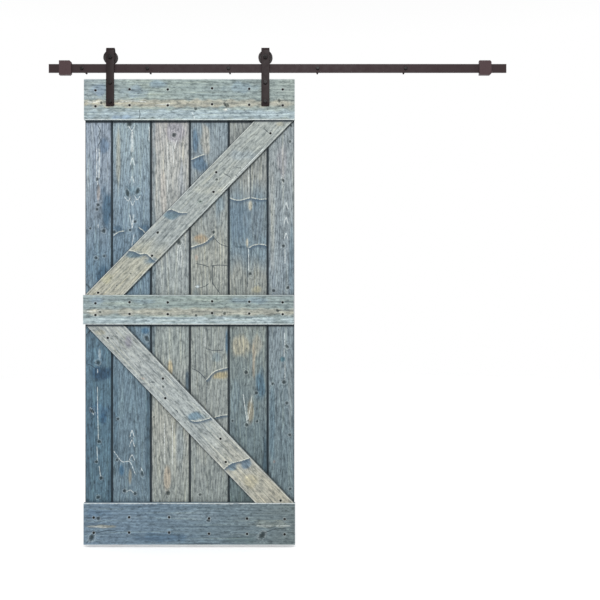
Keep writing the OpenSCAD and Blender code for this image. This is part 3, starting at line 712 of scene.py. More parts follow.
@dataclass
class Fastener:
    """A hexagon-headed bolt or a hexagon nut that lies along Y.

    y_head is the head's outer face, y_seat the face that bears, and y_end the tip.
    """
    name: str
    centre: tuple[float, float]
    flats: float
    y_head: float
    y_seat: float
    shank: float = 0.0
    y_end: float = 0.0
    thread_from: float = 0.0
    major: float = 0.0
    pitch: float = 1.0
    turn: float = 30.0
    point: float = 0.0
    cols: int = 48
    chamfer: float = 0.9       # how far the chamfer comes in, as a share of corner less half flats
    face: float = 0.55         # the head's plain middle, as a share of the half flats
    rim: float = 0.9           # where a head's chamfer starts, as a share of the half flats
    nut_rim: float = 0.93      # the same on a nut
    near: float = 0.97         # how wide the chamfer is halfway down, as a share of the corner
    dish: float = 0.15         # how deep the chamfer's first ring lies
    under: float = 0.3         # the eased edge under the head
    run_out: float = 0.4       # the length over which the shank becomes thread
    blunt: float = 1.0         # the length of a blunt tip
    tip_taper: float = 0.3     # how much of its radius a blunt tip loses
    bore_ease: float = 0.5

    def head_rows(self) -> tuple[np.ndarray, np.ndarray]:
        """Gives the head's profile, from the middle of its outer face to under it, and its flats.

        Returns:
            An n x 2 array of (y, radius), and n widths across flats.
        """
        corner, inner = self.flats / math.sqrt(3), self.flats / 2
        height = abs(self.y_seat - self.y_head)
        way = math.copysign(1, self.y_seat - self.y_head)
        drop = (corner - inner) * self.chamfer
        rows = [(0, CORE), (0, inner * self.face), (0, inner * self.rim),
                (self.dish, inner * self.near), (drop * 0.5, corner * self.near), (drop, corner),
                (height - self.under, corner), (height, corner - self.under)]
        profile = np.array([(self.y_head + way * depth, radius) for depth, radius in rows])
        flats = np.full(len(rows), self.flats)
        flats[:2] = np.inf
        return profile, flats

    def bolt(self) -> bpy.types.Object:
        """Builds a bolt: head, plain shank, thread and chamfered or pointed tip, as one surface.

        Returns:
            The bolt.
        """
        head, flats = self.head_rows()
        way = math.copysign(1, self.y_end - self.y_seat)
        length = self.point or self.blunt
        shank = np.array([(self.y_seat, self.shank), (self.thread_from - way * self.run_out, self.shank),
                          (self.thread_from, self.major)])
        thread = threaded(self.thread_from, self.y_end - way * length, self.major, self.pitch, self.cols)
        root = self.major - THREAD_DEPTH * self.pitch
        tip = np.array([(self.y_end - way * length * (1 - t),
                         root * (math.sqrt(1 - t) if self.point else 1 - self.tip_taper * t))
                        for t in (0.25, 0.5, 0.75, 1.0)])
        tip = np.concatenate([tip, [(self.y_end, CORE)]])
        plain = [np.repeat(rows[:, None], self.cols, axis=1) for rows in (head, shank, tip)]
        rows = np.concatenate([plain[0], plain[1], thread, plain[2]])
        widths = np.concatenate([flats, np.full(len(rows) - len(flats), np.inf)])
        return turned(self.name, rows, self.centre, self.cols, widths, self.turn)

    def nut(self, bore: float) -> bpy.types.Object:
        """Builds a nut with both faces chamfered round its bore, as one closed loop turned about Y.

        Args:
            bore: the hole's radius in mm.

        Returns:
            The nut.
        """
        corner, inner = self.flats / math.sqrt(3), self.flats / 2
        drop = (corner - inner) * self.chamfer
        low, high = sorted((self.y_head, self.y_seat))
        side = [(self.bore_ease, bore), (0, bore + self.bore_ease), (0, inner * self.nut_rim),
                (drop * 0.5, corner * self.near), (drop, corner)]
        loop = np.array([(low + depth, radius) for depth, radius in side]
                        + [(high - depth, radius) for depth, radius in reversed(side)])
        flats = np.full(len(loop), self.flats)
        flats[[0, 1, -2, -1]] = np.inf
        return turned(self.name, loop, self.centre, self.cols, flats, self.turn, bored=True)


@dataclass
class Track:
    """The flat bar with its spacers, wall bolts and end stops."""
    body: str = "track"
    slot: str = "dark_bronze_fixings"
    count: int = 5
    bar_ease: float = 0.35
    stop_ease: float = 0.7
    spacer_ease: float = 0.8
    spacer_bore: float = 4.95
    bolt_flats: float = 14.3
    bolt_shank: float = 4.75
    bolt_major: float = 4.5
    bolt_pitch: float = 3.2
    bolt_thread_y: float = 6.0
    bolt_point: float = 7.0

    def build(self, finishes: dict[str, bpy.types.Material]) -> None:
        """Builds the bar, both stops, the spacers and the wall bolts."""
        for node, ease, finish in (("track_bar", self.bar_ease, "bronze_steel"),
                                   ("stop_left", self.stop_ease, "rubbed_stop"),
                                   ("stop_right", self.stop_ease, "rubbed_stop")):
            piece = merged_copy(node, node + "_eased", ease)
            dress(piece, finishes[finish], self.body, [node])
        for number in range(1, self.count + 1):
            for node, piece in (self.spacer(number), self.wall_bolt(number)):
                dress(piece, finishes[self.slot], self.body, [node])

    def spacer(self, number: int) -> tuple[str, bpy.types.Object]:
        """Builds one round spacer tube with eased ends between the bar and the wall.

        Args:
            number: which spacer, from the left.

        Returns:
            The CAD node's name and the piece.
        """
        node = f"standoff_{number}"
        low, high = node_box(node)
        radius = (high[0] - low[0]) / 2
        corners = [(low[1], self.spacer_bore), (low[1], radius), (high[1], radius),
                   (high[1], self.spacer_bore)]
        loop = round_corners(corners, self.spacer_ease, 3, closed=True)
        return node, turned(node + "_turned", loop, node_centre(node), bored=True)

    def wall_bolt(self, number: int) -> tuple[str, bpy.types.Object]:
        """Builds one lag bolt, its hexagon head on the bar and its thread where the wall is.

        Args:
            number: which bolt, from the left.

        Returns:
            The CAD node's name and the piece.
        """
        node = f"lag_bolt_{number}"
        low, high = node_box(node)
        face = node_box("track_bar")[0][1]
        bolt = Fastener(node + "_threaded", node_centre(node), self.bolt_flats, low[1], face,
                        self.bolt_shank, high[1], self.bolt_thread_y, self.bolt_major, self.bolt_pitch,
                        point=self.bolt_point)
        return node, bolt.bolt()


@dataclass
class Hanger:
    """One bent strap with its wheel, axle and two strap bolts."""
    side: str
    thick: float = 5.0
    corner: float = 1.1
    bend_steps: int = 24
    end_ease: float = 0.8
    front_steps: int = 12
    back_steps: int = 6
    strap_flats: float = 17.0
    strap_head: float = 6.4
    strap_major: float = 5.0
    strap_thread_y: float = -20.0
    axle_flats: float = 19.0
    axle_head: float = 7.5
    axle_major: float = 6.0
    axle_thread_y: float = -50.0
    hole_clear: float = 0.05
    overrun: float = 5.0
    pitch: float = 1.6
    wheel_cols: int = 96
    tread: float = 29.0        # the wheel's radii, and the half widths that go with them
    tread_half: float = 3.75
    tread_slope: float = 1.4
    rim: float = 25.5
    hub: float = 18.5
    web: float = 7.25
    seat: float = 16.05
    lip: float = 14.5
    seat_half: float = 5.0
    wheel_ease: float = 0.9
    step: float = 0.8          # the small steps at the hub, the rim and the flange
    flange_ease: float = 0.6

    def build(self, finishes: dict[str, bpy.types.Material]) -> None:
        """Builds the strap, the turned wheel, the axle bolt and nut, and both strap bolts.

        Args:
            finishes: the metals by name.
        """
        fixings = "dark_bronze_fixings"
        pieces = [("strap", self.strap(), "strap_bronze", "bronze_steel", "door"),
                  ("wheel", self.wheel(), "dark_bronze_wheel", "dark_bronze_wheel", f"{self.side}_wheel")]
        pieces += [(name, piece, fixings, fixings, "door") for name, piece in self.fixings()]
        for name, piece, finish, slot, body in pieces:
            dress(piece, finishes[finish], body, [f"{self.side}_{name}"])

    def fixings(self) -> list[tuple[str, bpy.types.Object]]:
        """Builds the axle bolt and its nut, then the strap bolts, each with its node's short name.

        Returns:
            Pairs of a short name and a piece.
        """
        node = f"{self.side}_axle_bolt"
        low, high = node_box(node)
        centre = node_centre(node)
        bolt = Fastener(node + "_threaded", centre, self.axle_flats, high[1], high[1] - self.axle_head,
                        self.axle_major, low[1], self.axle_thread_y, self.axle_major, self.pitch, turn=0.0)
        made = [("axle_bolt", bolt.bolt())]
        node = f"{self.side}_axle_nut"
        low, high = node_box(node)
        nut = Fastener(node + "_formed", centre, self.axle_flats, low[1], high[1], turn=0.0)
        made.append(("axle_nut", nut.nut(self.axle_major + self.hole_clear)))
        for place in ("upper", "lower"):
            node = f"{self.side}_strap_bolt_{place}"
            low, high = node_box(node)
            bolt = Fastener(node + "_threaded", node_centre(node), self.strap_flats, low[1],
                            low[1] + self.strap_head, self.strap_major, high[1], self.strap_thread_y,
                            self.strap_major, self.pitch)
            made.append((f"strap_bolt_{place}", bolt.bolt()))
        return made

    def strap(self) -> bpy.types.Object:
        """Carries the strap's rounded flat section down a J-shaped line.

        The line is straight up the front, half round over the wheel and straight down the back.
        Each point of the section is (x, n): x across the strap and n along the line's normal.

        Returns:
            The drilled strap.
        """
        low, high = node_box(f"{self.side}_strap")
        middle = (low + high) / 2
        bend = (high[1] - low[1] - self.thick) / 2
        top = high[2] - bend - self.thick / 2
        back_end = node_points(f"{self.side}_strap")
        back_end = back_end[back_end[:, 1] > middle[1] + 1][:, 2].min()
        turn = np.linspace(math.pi, 0, self.bend_steps + 1)
        line = np.concatenate([
            [(-bend, z) for z in (low[2], low[2] + 1)],
            [(-bend, z) for z in np.linspace(low[2] + 20, top, self.front_steps, endpoint=False)],
            np.stack([bend * np.cos(turn), top + bend * np.sin(turn)], axis=-1),
            [(bend, z) for z in np.linspace(top, back_end, self.back_steps)[1:-1]],
            [(bend, back_end + 1), (bend, back_end)]])
        normal = np.concatenate([[(-1, 0)] * (self.front_steps + 2),
                                 np.stack([np.cos(turn), np.sin(turn)], axis=-1),
                                 [(1, 0)] * self.back_steps])
        half, thin = (high[0] - low[0]) / 2, self.thick / 2
        section = round_corners([(-half, -thin), (half, -thin), (half, thin), (-half, thin)],
                                self.corner, 3, closed=True)
        drawn = np.zeros(len(line))[:, None]
        drawn[[0, -1]] = self.end_ease
        x = section[None, :, 0] * (1 - drawn / half)
        n = section[None, :, 1] * (1 - drawn / thin)
        points = np.stack([middle[0] + x, middle[1] + line[:, :1] + n * normal[:, :1],
                           line[:, 1:] + n * normal[:, 1:]], axis=-1)
        rows, cols = points.shape[:2]
        caps = [list(range(cols)), list(range((rows - 1) * cols, rows * cols))]
        piece = make_piece(f"{self.side}_strap_bent", points.reshape(-1, 3),
                           grid_quads(rows, cols, False, True), caps, 50)
        holes = []
        for name, major in (("strap_bolt_upper", self.strap_major), ("strap_bolt_lower", self.strap_major),
                            ("axle_bolt", self.axle_major)):
            start, end = low[1] - self.overrun, high[1] + self.overrun
            radius = major + self.hole_clear
            drill = np.array([(start, CORE), (start, radius), (end, radius), (end, CORE)])
            holes.append(turned("strap_hole", drill, node_centre(f"{self.side}_{name}"), 32))
        cut(piece, holes)
        smooth(piece.data, 40)
        return piece

    def wheel(self) -> bpy.types.Object:
        """Turns the flanged wheel: two flanges, a tread between them, thin webs and a bearing seat.

        Returns:
            The wheel.
        """
        node = f"{self.side}_wheel"
        low, high = node_box(node)
        y, half, flange = (low[1] + high[1]) / 2, (high[1] - low[1]) / 2, (high[2] - low[2]) / 2
        side = [(self.seat_half, self.seat), (self.seat_half, self.lip), (half, self.lip), (half, self.hub),
                (self.web, self.hub + self.step), (self.web, self.rim - self.step), (half, self.rim),
                (half, flange - self.flange_ease), (half - self.step, flange),
                (self.tread_half + self.tread_slope, flange), (self.tread_half, self.tread)]
        corners = [(y + a, r) for a, r in side] + [(y - a, r) for a, r in reversed(side)]
        loop = round_corners(corners, self.wheel_ease, 2, closed=True)
        return turned(node + "_turned", loop, node_centre(node), self.wheel_cols, bored=True)


def dress_frame_nodes(finishes: dict[str, bpy.types.Material]) -> None:
    """Gives each CAD node that is still shown the finish of its record slot."""
    for name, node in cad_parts.items():
        slot = node.data.materials[0].name.split(".")[0]
        if slot in finishes:
            node.data.materials[0] = finishes[slot]
        if not node.hide_render:
            LOG.info("%s: CAD node kept, finish %s", name, slot)


# ---------------------------------------------------------------- boards

Line = list[tuple[float, float]]
ALBEDO = 0.77          # how much of a stain's seen colour is its own, the rest being the light's
FAR = 30.0             # distances past this, in mm, are all alike
FULL_REACH, SIDE_FADE, END_FADE = 10.0, 10.0, 7.0     # how a line's reach falls off, in mm
NO_KNOT = -3.0
SCREWS_APART = 12.0    # no two screws in a board are nearer than this, in mm
SHADE_FADE = 4.0        # how fast painted shade fades, in mm
FACE_DEPTH = 4.5       # a point less than this behind the front, in mm, counts as front face for painted shade


@dataclass(frozen=True)
class Figure:
    """What marks one board, in X and Z millimetres.

    tones are (place along the board, colour); patches are (x, z, half width, half height, colour,
    strength); knots are (x, z, radius, height ratio, lean in degrees); splits, strokes and lips
    are lines, and a lip's torn side is below it.  Strokes along a rail's or brace's edge are
    painted highlights, on the bottom rail partly wear too.
    """
    tones: list[tuple[float, str]]
    pith: float
    rise: float = 0.022
    ring_mm: float = 11.0
    seed: int = 0
    patches: list[tuple[float, float, float, float, str, float]] = field(default_factory=list)
    knots: list[tuple[float, float, float, float, float]] = field(default_factory=list)
    splits: list[Line] = field(default_factory=list)
    strokes: list[Line] = field(default_factory=list)
    lips: list[Line] = field(default_factory=list)


def waves(x: np.ndarray, z: np.ndarray, seed: int, wide: float, tall: float) -> np.ndarray:
    """Gives a smooth field from about -1 to 1: six sines of x / wide and z / tall at random phases.

    Args:
        x, z: the points in mm.
        seed: sets the phases.
        wide: the longest wave along x, in mm.
        tall: the longest wave along z, in mm.

    Returns:
        An array like x.
    """
    draw = np.random.default_rng(seed)
    total = np.zeros_like(x)
    for _ in range(6):
        across, up, phase = draw.uniform(0.3, 1.0), draw.uniform(-1.0, 1.0), draw.uniform(0, 2 * math.pi)
        total += np.sin(2 * math.pi * (across * x / wide + up * z / tall) + phase)
    return total / 3.5


def line_distance(x: np.ndarray, z: np.ndarray, lines: list[Line]) -> tuple[np.ndarray, np.ndarray]:
    """Gives each point's signed distance to the nearest line, and how far that line reaches it.

    A side's signed distance is the cross product of its unit direction with the way to the point,
    so it is positive above a line that runs to the right.  The reach is 1 near the line and falls
    to 0 at FULL_REACH + SIDE_FADE from it or END_FADE past its ends.

    Args:
        x: the points' x in mm.
        z: the points' z in mm.
        lines: polylines, whose corners are rounded.

    Returns:
        The signed distance in mm, at most FAR either way, and the reach from 0 to 1.
    """
    nearest, reach = np.full(x.shape, FAR), np.zeros(x.shape)
    for corners in lines:
        line = round_corners(corners, 20.0, 4)
        for index, (start, end) in enumerate(zip(line[:-1], line[1:])):
            way = end - start
            length = np.hypot(*way)
            if length < 1e-6:
                continue
            dx, dz = x - start[0], z - start[1]
            near = (np.abs(dx - way[0] / 2) < length + FAR) & (np.abs(dz - way[1] / 2) < length + FAR)
            if not near.any():
                continue
            along = (dx[near] * way[0] + dz[near] * way[1]) / length
            across = (dz[near] * way[0] - dx[near] * way[1]) / length
            past = np.maximum(np.maximum(-along, along - length), 0)
            gap = np.hypot(across, past)
            ends = past * (index in (0, len(line) - 2))
            beside = np.clip((np.abs(across) - FULL_REACH) / SIDE_FADE, 0, 1)
            here = (1 - beside) * (1 - np.clip(ends / END_FADE, 0, 1))
            best = gap < np.abs(nearest[near])
            place = np.flatnonzero(near.ravel())[best]
            nearest.ravel()[place] = np.where(across >= 0, 1, -1)[best] * gap[best]
            reach.ravel()[place] = here[best]
    return np.clip(nearest, -FAR, FAR), reach


def knot_level(x: np.ndarray, z: np.ndarray, knots: list[tuple]) -> np.ndarray:
    """Gives 1 at a knot's heart, 0 at its rim and at least -3 away, by its ellipse's own distance.

    Args:
        x, z: the points in mm.
        knots: as in a Figure.

    Returns:
        An array like x.
    """
    level = np.full(x.shape, NO_KNOT)
    for kx, kz, radius, tall, lean in knots:
        c, s = math.cos(math.radians(lean)), math.sin(math.radians(lean))
        a, b = (x - kx) * c + (z - kz) * s, (z - kz) * c - (x - kx) * s
        level = np.maximum(level, 1 - np.hypot(a / radius, b / (radius * tall)))
    return level


def rgb(colour: str) -> np.ndarray:
    """Gives a hex colour as three linear numbers."""
    return np.array(linear(colour)[:3])


def painted_shade_cover(gap: np.ndarray, strength: float, full: float) -> np.ndarray:
    """Gives painted shade over points past an edge: strength as far as full mm, then fading over
    SHADE_FADE.
    """
    return np.where(gap > 0, strength * np.exp(-np.maximum(gap - full, 0) / SHADE_FADE), 0)


@dataclass(frozen=True)
class Rings:
    """How the growth rings wander, in mm along and over the grain, and how knots push them."""
    sway: float = 5.0
    sway_length: float = 900.0
    arch: float = 1.2          # how blunt the arches over the pith are, in rings
    ripple: float = 0.5
    ripple_size: tuple[float, float] = (60.0, 420.0)
    slope: float = 1.5         # ring widths that one ring takes in depth
    push: float = 2.6
    push_wide: float = 1.7     # how far a knot pushes, in its radii
    push_tall: float = 2.2


@dataclass(frozen=True)
class Wear:
    """How deep each kind of mark is worn into a front face, in mm."""
    wave: float = 0.18
    knot: float = 0.5
    split: float = 0.7
    split_width: float = 2.5
    torn: float = 1.1
    torn_step: float = 4.0
    torn_run: float = 22.0
    deepest: float = 1.6
    edge: float = 5.0      # the wear fades out over this much of the edge


@dataclass
class Board:
    """One board: a closed section carried along a line, then drilled, then marked by its figure.

    A point is origin + s * along + a * wide in X and Z, where s runs down the board and a is the
    section's own width; y comes from the section.  across is the unit direction over the grain.
    """
    node: str
    slot: str
    figure: Figure
    section: np.ndarray
    origin: np.ndarray
    along: np.ndarray
    wide: np.ndarray
    length: float
    front: float
    back: float
    ease: float = 1.2
    pitch: float = 4.0
    round_steps: float = 30.0
    pale_edges: bool = True
    worn_ends: bool = False
    wear: Wear = Wear()
    rings: Rings = Rings()

    def __post_init__(self) -> None:
        """Works out the direction over the grain and the front face's edges."""
        over = np.array([-self.along[1], self.along[0]])
        self.across = over * math.copysign(1, over @ self.wide)
        face = self.section[np.abs(self.section[:, 1] - self.front) < 0.01, 0]
        slant = self.wide @ self.across
        self.edges = (face.min() * slant, face.max() * slant)

    def grain(self, x: np.ndarray, z: np.ndarray) -> tuple[np.ndarray, np.ndarray]:
        """Gives how far points lie along and across the grain, in mm."""
        dx, dz = x - self.origin[0], z - self.origin[1]
        return dx * self.along[0] + dz * self.along[1], dx * self.across[0] + dz * self.across[1]

    def edge_distance(self, x: np.ndarray, z: np.ndarray) -> np.ndarray:
        """Gives each point's distance inside the front face's nearest edge, in mm.

        Args:
            x, z: the points in mm.

        Returns:
            An array like x.
        """
        s, a = self.grain(x, z)
        inside = np.minimum(a - self.edges[0], self.edges[1] - a)
        if self.worn_ends:
            inside = np.minimum(inside, np.minimum(s, self.length - s))
        return inside

    def relief(self, x: np.ndarray, z: np.ndarray) -> np.ndarray:
        """Gives how far the front is worn in, in mm: soft waves, dished knots, splits and torn steps.

        Args:
            x, z: the points in mm.

        Returns:
            An array like x.
        """
        figure, wear = self.figure, self.wear
        s, a = self.grain(x, z)
        depth = wear.wave * (1 + waves(a, s, figure.seed + 9, 45, 500))
        depth += wear.knot * np.clip(knot_level(x, z, figure.knots) + 0.5, 0, 1)
        across, reach = line_distance(x, z, figure.splits)
        depth += wear.split * reach * np.exp(-(across / wear.split_width) ** 2)
        across, reach = line_distance(x, z, figure.lips)
        torn = np.clip(0.5 - across / wear.torn_step, 0, 1) * np.exp(np.minimum(across, 0) / wear.torn_run)
        depth += wear.torn * torn * np.clip(reach * 2, 0, 1)
        return np.minimum(depth, wear.deepest) * np.clip(self.edge_distance(x, z) / wear.edge, 0, 1)

    def build(self, finish: bpy.types.Material, cutters: list[bpy.types.Object]) -> None:
        """Builds, drills, marks and dresses the board.

        Args:
            finish: the pine.
            cutters: its screw and bolt holes.
        """
        loop = self.spaced_section()
        inner = np.linspace(self.ease, self.length - self.ease, max(2, round(self.length / self.pitch)))
        rows = np.concatenate([[0.0], inner, [self.length]])
        a = np.repeat(loop[None, :, 0], len(rows), axis=0)
        y = np.repeat(loop[None, :, 1], len(rows), axis=0)
        low, high = loop[:, 0].min() + self.ease, loop[:, 0].max() - self.ease
        a[[0, -1]] = np.clip(a[[0, -1]], low, high)
        y[[0, -1]] = np.clip(y[[0, -1]], self.front + self.ease, self.back - self.ease)
        x = self.origin[0] + rows[:, None] * self.along[0] + a * self.wide[0]
        z = self.origin[1] + rows[:, None] * self.along[1] + a * self.wide[1]
        face = np.abs(y - self.front) < 0.01
        y = np.where(face, y + self.relief(x, z), y)
        points = np.stack([x, y, z], axis=-1)
        count, cols = x.shape
        caps = [list(range(cols)), list(range((count - 1) * cols, count * cols))]
        piece = make_piece(self.node + "_board", points.reshape(-1, 3),
                           grid_quads(count, cols, False, True), caps, 40)
        if cutters:
            cut(piece, [gang(self.node + "_cutters", cutters)])
            smooth(piece.data, 40)
        self.mark(piece.data)
        dress(piece, finish, "door", [self.node])

    def spaced_section(self) -> np.ndarray:
        """Splits the section's sides, finely on the front and coarsely elsewhere.

        Returns:
            An n x 2 array of (a, y).
        """
        pieces = []
        for start, end in zip(self.section, np.roll(self.section, -1, axis=0)):
            on_front = abs(start[1] - self.front) < 0.01 and abs(end[1] - self.front) < 0.01
            parts = max(1, round(np.hypot(*(end - start)) / (self.pitch if on_front else self.round_steps)))
            pieces.append(start + (end - start) * np.arange(parts)[:, None] / parts)
        return np.concatenate(pieces)

    def mark(self, mesh: bpy.types.Mesh) -> None:
        """Works out the attributes that the pine finish reads and puts them on the mesh.

        Args:
            mesh: the finished board's mesh.
        """
        flat = np.zeros(len(mesh.vertices) * 3)
        mesh.vertices.foreach_get("co", flat)
        x, y, z = (flat.reshape(-1, 3) / MM).T
        figure = self.figure
        s, a = self.grain(x, z)
        on_face = (y < (self.front + self.back) / 2).astype(float)
        level = knot_level(x, z, figure.knots)
        shift = np.random.default_rng(figure.seed).uniform(-4000, 4000, 3)
        place = np.stack([s, a, y], axis=-1) * MM + shift * MM
        lines, reach = zip(*(line_distance(x, z, group)
                             for group in (figure.splits, figure.strokes, figure.lips)))
        screw = np.full(x.shape, FAR)
        for cx, cz in self.screws:
            screw = np.minimum(screw, np.hypot(x - cx, z - cz))
        pale_band = (on_face > 0) & self.pale_edges
        spots = [level, np.where(on_face > 0, screw, FAR), np.where(pale_band, self.edge_distance(x, z), FAR)]
        stain = np.concatenate([self.stain(x, z) * ALBEDO, np.ones((len(x), 1))], axis=1)
        for name, kind, key, values in (
                ("place", "FLOAT_VECTOR", "vector", place),
                ("growth", "FLOAT", "value", self.growth(x, y, z)),
                ("lines", "FLOAT_VECTOR", "vector", np.stack(lines, axis=-1)),
                ("reach", "FLOAT_VECTOR", "vector", np.stack(reach, axis=-1) * on_face[:, None]),
                ("spots", "FLOAT_VECTOR", "vector", np.stack(spots, axis=-1)),
                # painted shade where the boards meet and on their undersides
                ("pool", "FLOAT", "value", self.pool(x, y, z)),
                ("stain", "FLOAT_COLOR", "color", stain)):
            layer = mesh.attributes.new(name, kind, "POINT")
            layer.data.foreach_set(key, np.ascontiguousarray(values, np.float32).ravel())

    def growth(self, x: np.ndarray, y: np.ndarray, z: np.ndarray) -> np.ndarray:
        """Gives the growth ring at each point.

        Away from the pith line the rings are ring_mm apart; near it they meet in pointed arches:
        ring = hypot((a - pith) / ring_mm, arch) + rise * s + waves, and each knot pushes the rings
        round itself by push * exp(-(distance / a few radii)^2).

        Args:
            x, y, z: the points in mm.

        Returns:
            An array like x, one to a ring.
        """
        figure, rings = self.figure, self.rings
        s, a = self.grain(x, z)
        sway = rings.sway * waves(s, s * 0, figure.seed + 3, rings.sway_length, 1)
        off = (a - figure.pith + sway) / figure.ring_mm
        ring = np.hypot(off, rings.arch) + figure.rise * s
        ring = ring + rings.ripple * waves(a, s, figure.seed + 5, *rings.ripple_size)
        ring = ring + (y - self.front) / (figure.ring_mm * rings.slope)
        for kx, kz, radius, tall, _ in figure.knots:
            wide, high = radius * rings.push_wide, radius * tall * rings.push_tall
            ring += rings.push * np.exp(-((x - kx) / wide) ** 2 - ((z - kz) / high) ** 2)
        return ring

    def stain(self, x: np.ndarray, z: np.ndarray) -> np.ndarray:
        """Gives the stain's linear colour: tones along the board with patches over them.

        Args:
            x, z: the points in mm.

        Returns:
            An n x 3 array.
        """
        figure = self.figure
        s, a = self.grain(x, z)
        tones = sorted(figure.tones)
        at = s + 30 * waves(a, s, figure.seed + 1, 70, 300)
        colour = np.stack([np.interp(at, [t for t, _ in tones], channel)
                           for channel in np.array([rgb(c) for _, c in tones]).T], axis=-1)
        ripple = waves(x, z, figure.seed + 2, 50, 80)
        for px, pz, half, tall, hue, strength in figure.patches:
            inside = 1 - np.hypot((x - px) / half, (z - pz) / tall) + 0.22 * ripple
            cover = (strength * np.clip(inside * 2.2, 0, 1) ** 1.2)[:, None]
            colour = colour * (1 - cover) + rgb(hue) * cover
        return colour

    def pool(self, x: np.ndarray, y: np.ndarray, z: np.ndarray) -> np.ndarray:
        """Gives painted shade: on the side past the front face's first edge, such as a rail's underside,
        and just under the top and middle rails.

        Args:
            x, y, z: the points in mm.

        Returns:
            An array like x, from 0 to 1.
        """
        low = self.grain(x, z)[1] - self.edges[0]
        # painted shade on the side behind the front face's first edge
        cover = 0.85 * ((y > self.front + 2.5) & (low < 0.5))
        # painted shadow just under the top and middle rails
        for rail in ("top_rail", "middle_rail"):
            line = painted_shade_cover(node_box(rail)[0][2] - z, 1.0, 7.0)
            cover = np.maximum(cover, line * (y < self.front + FACE_DEPTH))
        return cover

    @property
    def screws(self) -> np.ndarray:
        """Gives the (x, z) centres of the screws driven into this board's face."""
        name = self.node + "_screws"
        return island_centres(name, SCREWS_APART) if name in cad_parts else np.zeros((0, 2))


class Plank(Board):
    """A tongued and grooved plank, with painted shade under the rails and in its V-shaped edges."""

    def pool(self, x: np.ndarray, y: np.ndarray, z: np.ndarray) -> np.ndarray:
        """Adds painted shade in the V edges, above the middle and bottom rails and beside the braces.

        Args:
            x, y, z: the points in mm.

        Returns:
            An array like x, from 0 to 1.
        """
        on_face = y < self.front + FACE_DEPTH
        # painted shade down the V edges, above the middle and bottom rails and beside the braces
        seam = np.clip(1.1 - (self.edge_distance(x, z) + 1) / 4.5, 0, 0.8)
        cover = np.maximum(super().pool(x, y, z), seam * on_face)
        for rail in ("middle_rail", "bottom_rail"):
            cover = np.maximum(cover, painted_shade_cover(z - node_box(rail)[1][2], 0.45, 0.0) * on_face)
        for brace in ("upper_brace", "lower_brace"):
            line = painted_shade_cover(BraceShape.read(brace).outside(x, z), 0.8, 3.0)
            cover = np.maximum(cover, line * on_face)
        return cover


@dataclass(frozen=True)
class BraceShape:
    """A brace's outline, read from its node: its lower left corner, its run and its level cut."""
    corner: np.ndarray
    run: np.ndarray
    foot: float

    @staticmethod
    def read(node: str) -> "BraceShape":
        """Reads the outline of a brace from its node's mesh.

        Args:
            node: the CAD brace.

        Returns:
            Its outline.
        """
        flat = node_points(node)[:, [0, 2]]
        ends = flat[:, 1].min(), flat[:, 1].max()
        low, high = (flat[np.abs(flat[:, 1] - level) < 0.3, 0] for level in ends)
        corner = np.array([low.min(), flat[:, 1].min()])
        return BraceShape(corner, np.array([high.min(), flat[:, 1].max()]) - corner, low.max() - low.min())

    def outside(self, x: np.ndarray, z: np.ndarray) -> np.ndarray:
        """Gives how far points lie outside the brace's long edges, in mm, negative inside.

        Args:
            x, z: the points in mm.

        Returns:
            An array like x.
        """
        length = np.hypot(*self.run)
        over = ((x - self.corner[0]) * self.run[1] - (z - self.corner[1]) * self.run[0]) / length
        return np.maximum(-over, over - self.foot * self.run[1] / length)


def gang(name: str, cutters: list[bpy.types.Object]) -> bpy.types.Object:
    """Joins cutters into one object and removes the single ones.

    Args:
        name: the new object's name.
        cutters: closed objects, which are used up.

    Returns:
        One object that holds them all.
    """
    joined = bmesh.new()
    for tool in cutters:
        joined.from_mesh(tool.data)
        shape = tool.data
        bpy.data.objects.remove(tool)
        bpy.data.meshes.remove(shape)
    mesh = bpy.data.meshes.new(name)
    joined.to_mesh(mesh)
    joined.free()
    whole = bpy.data.objects.new(name, mesh)
    bpy.context.scene.collection.objects.link(whole)
    return whole


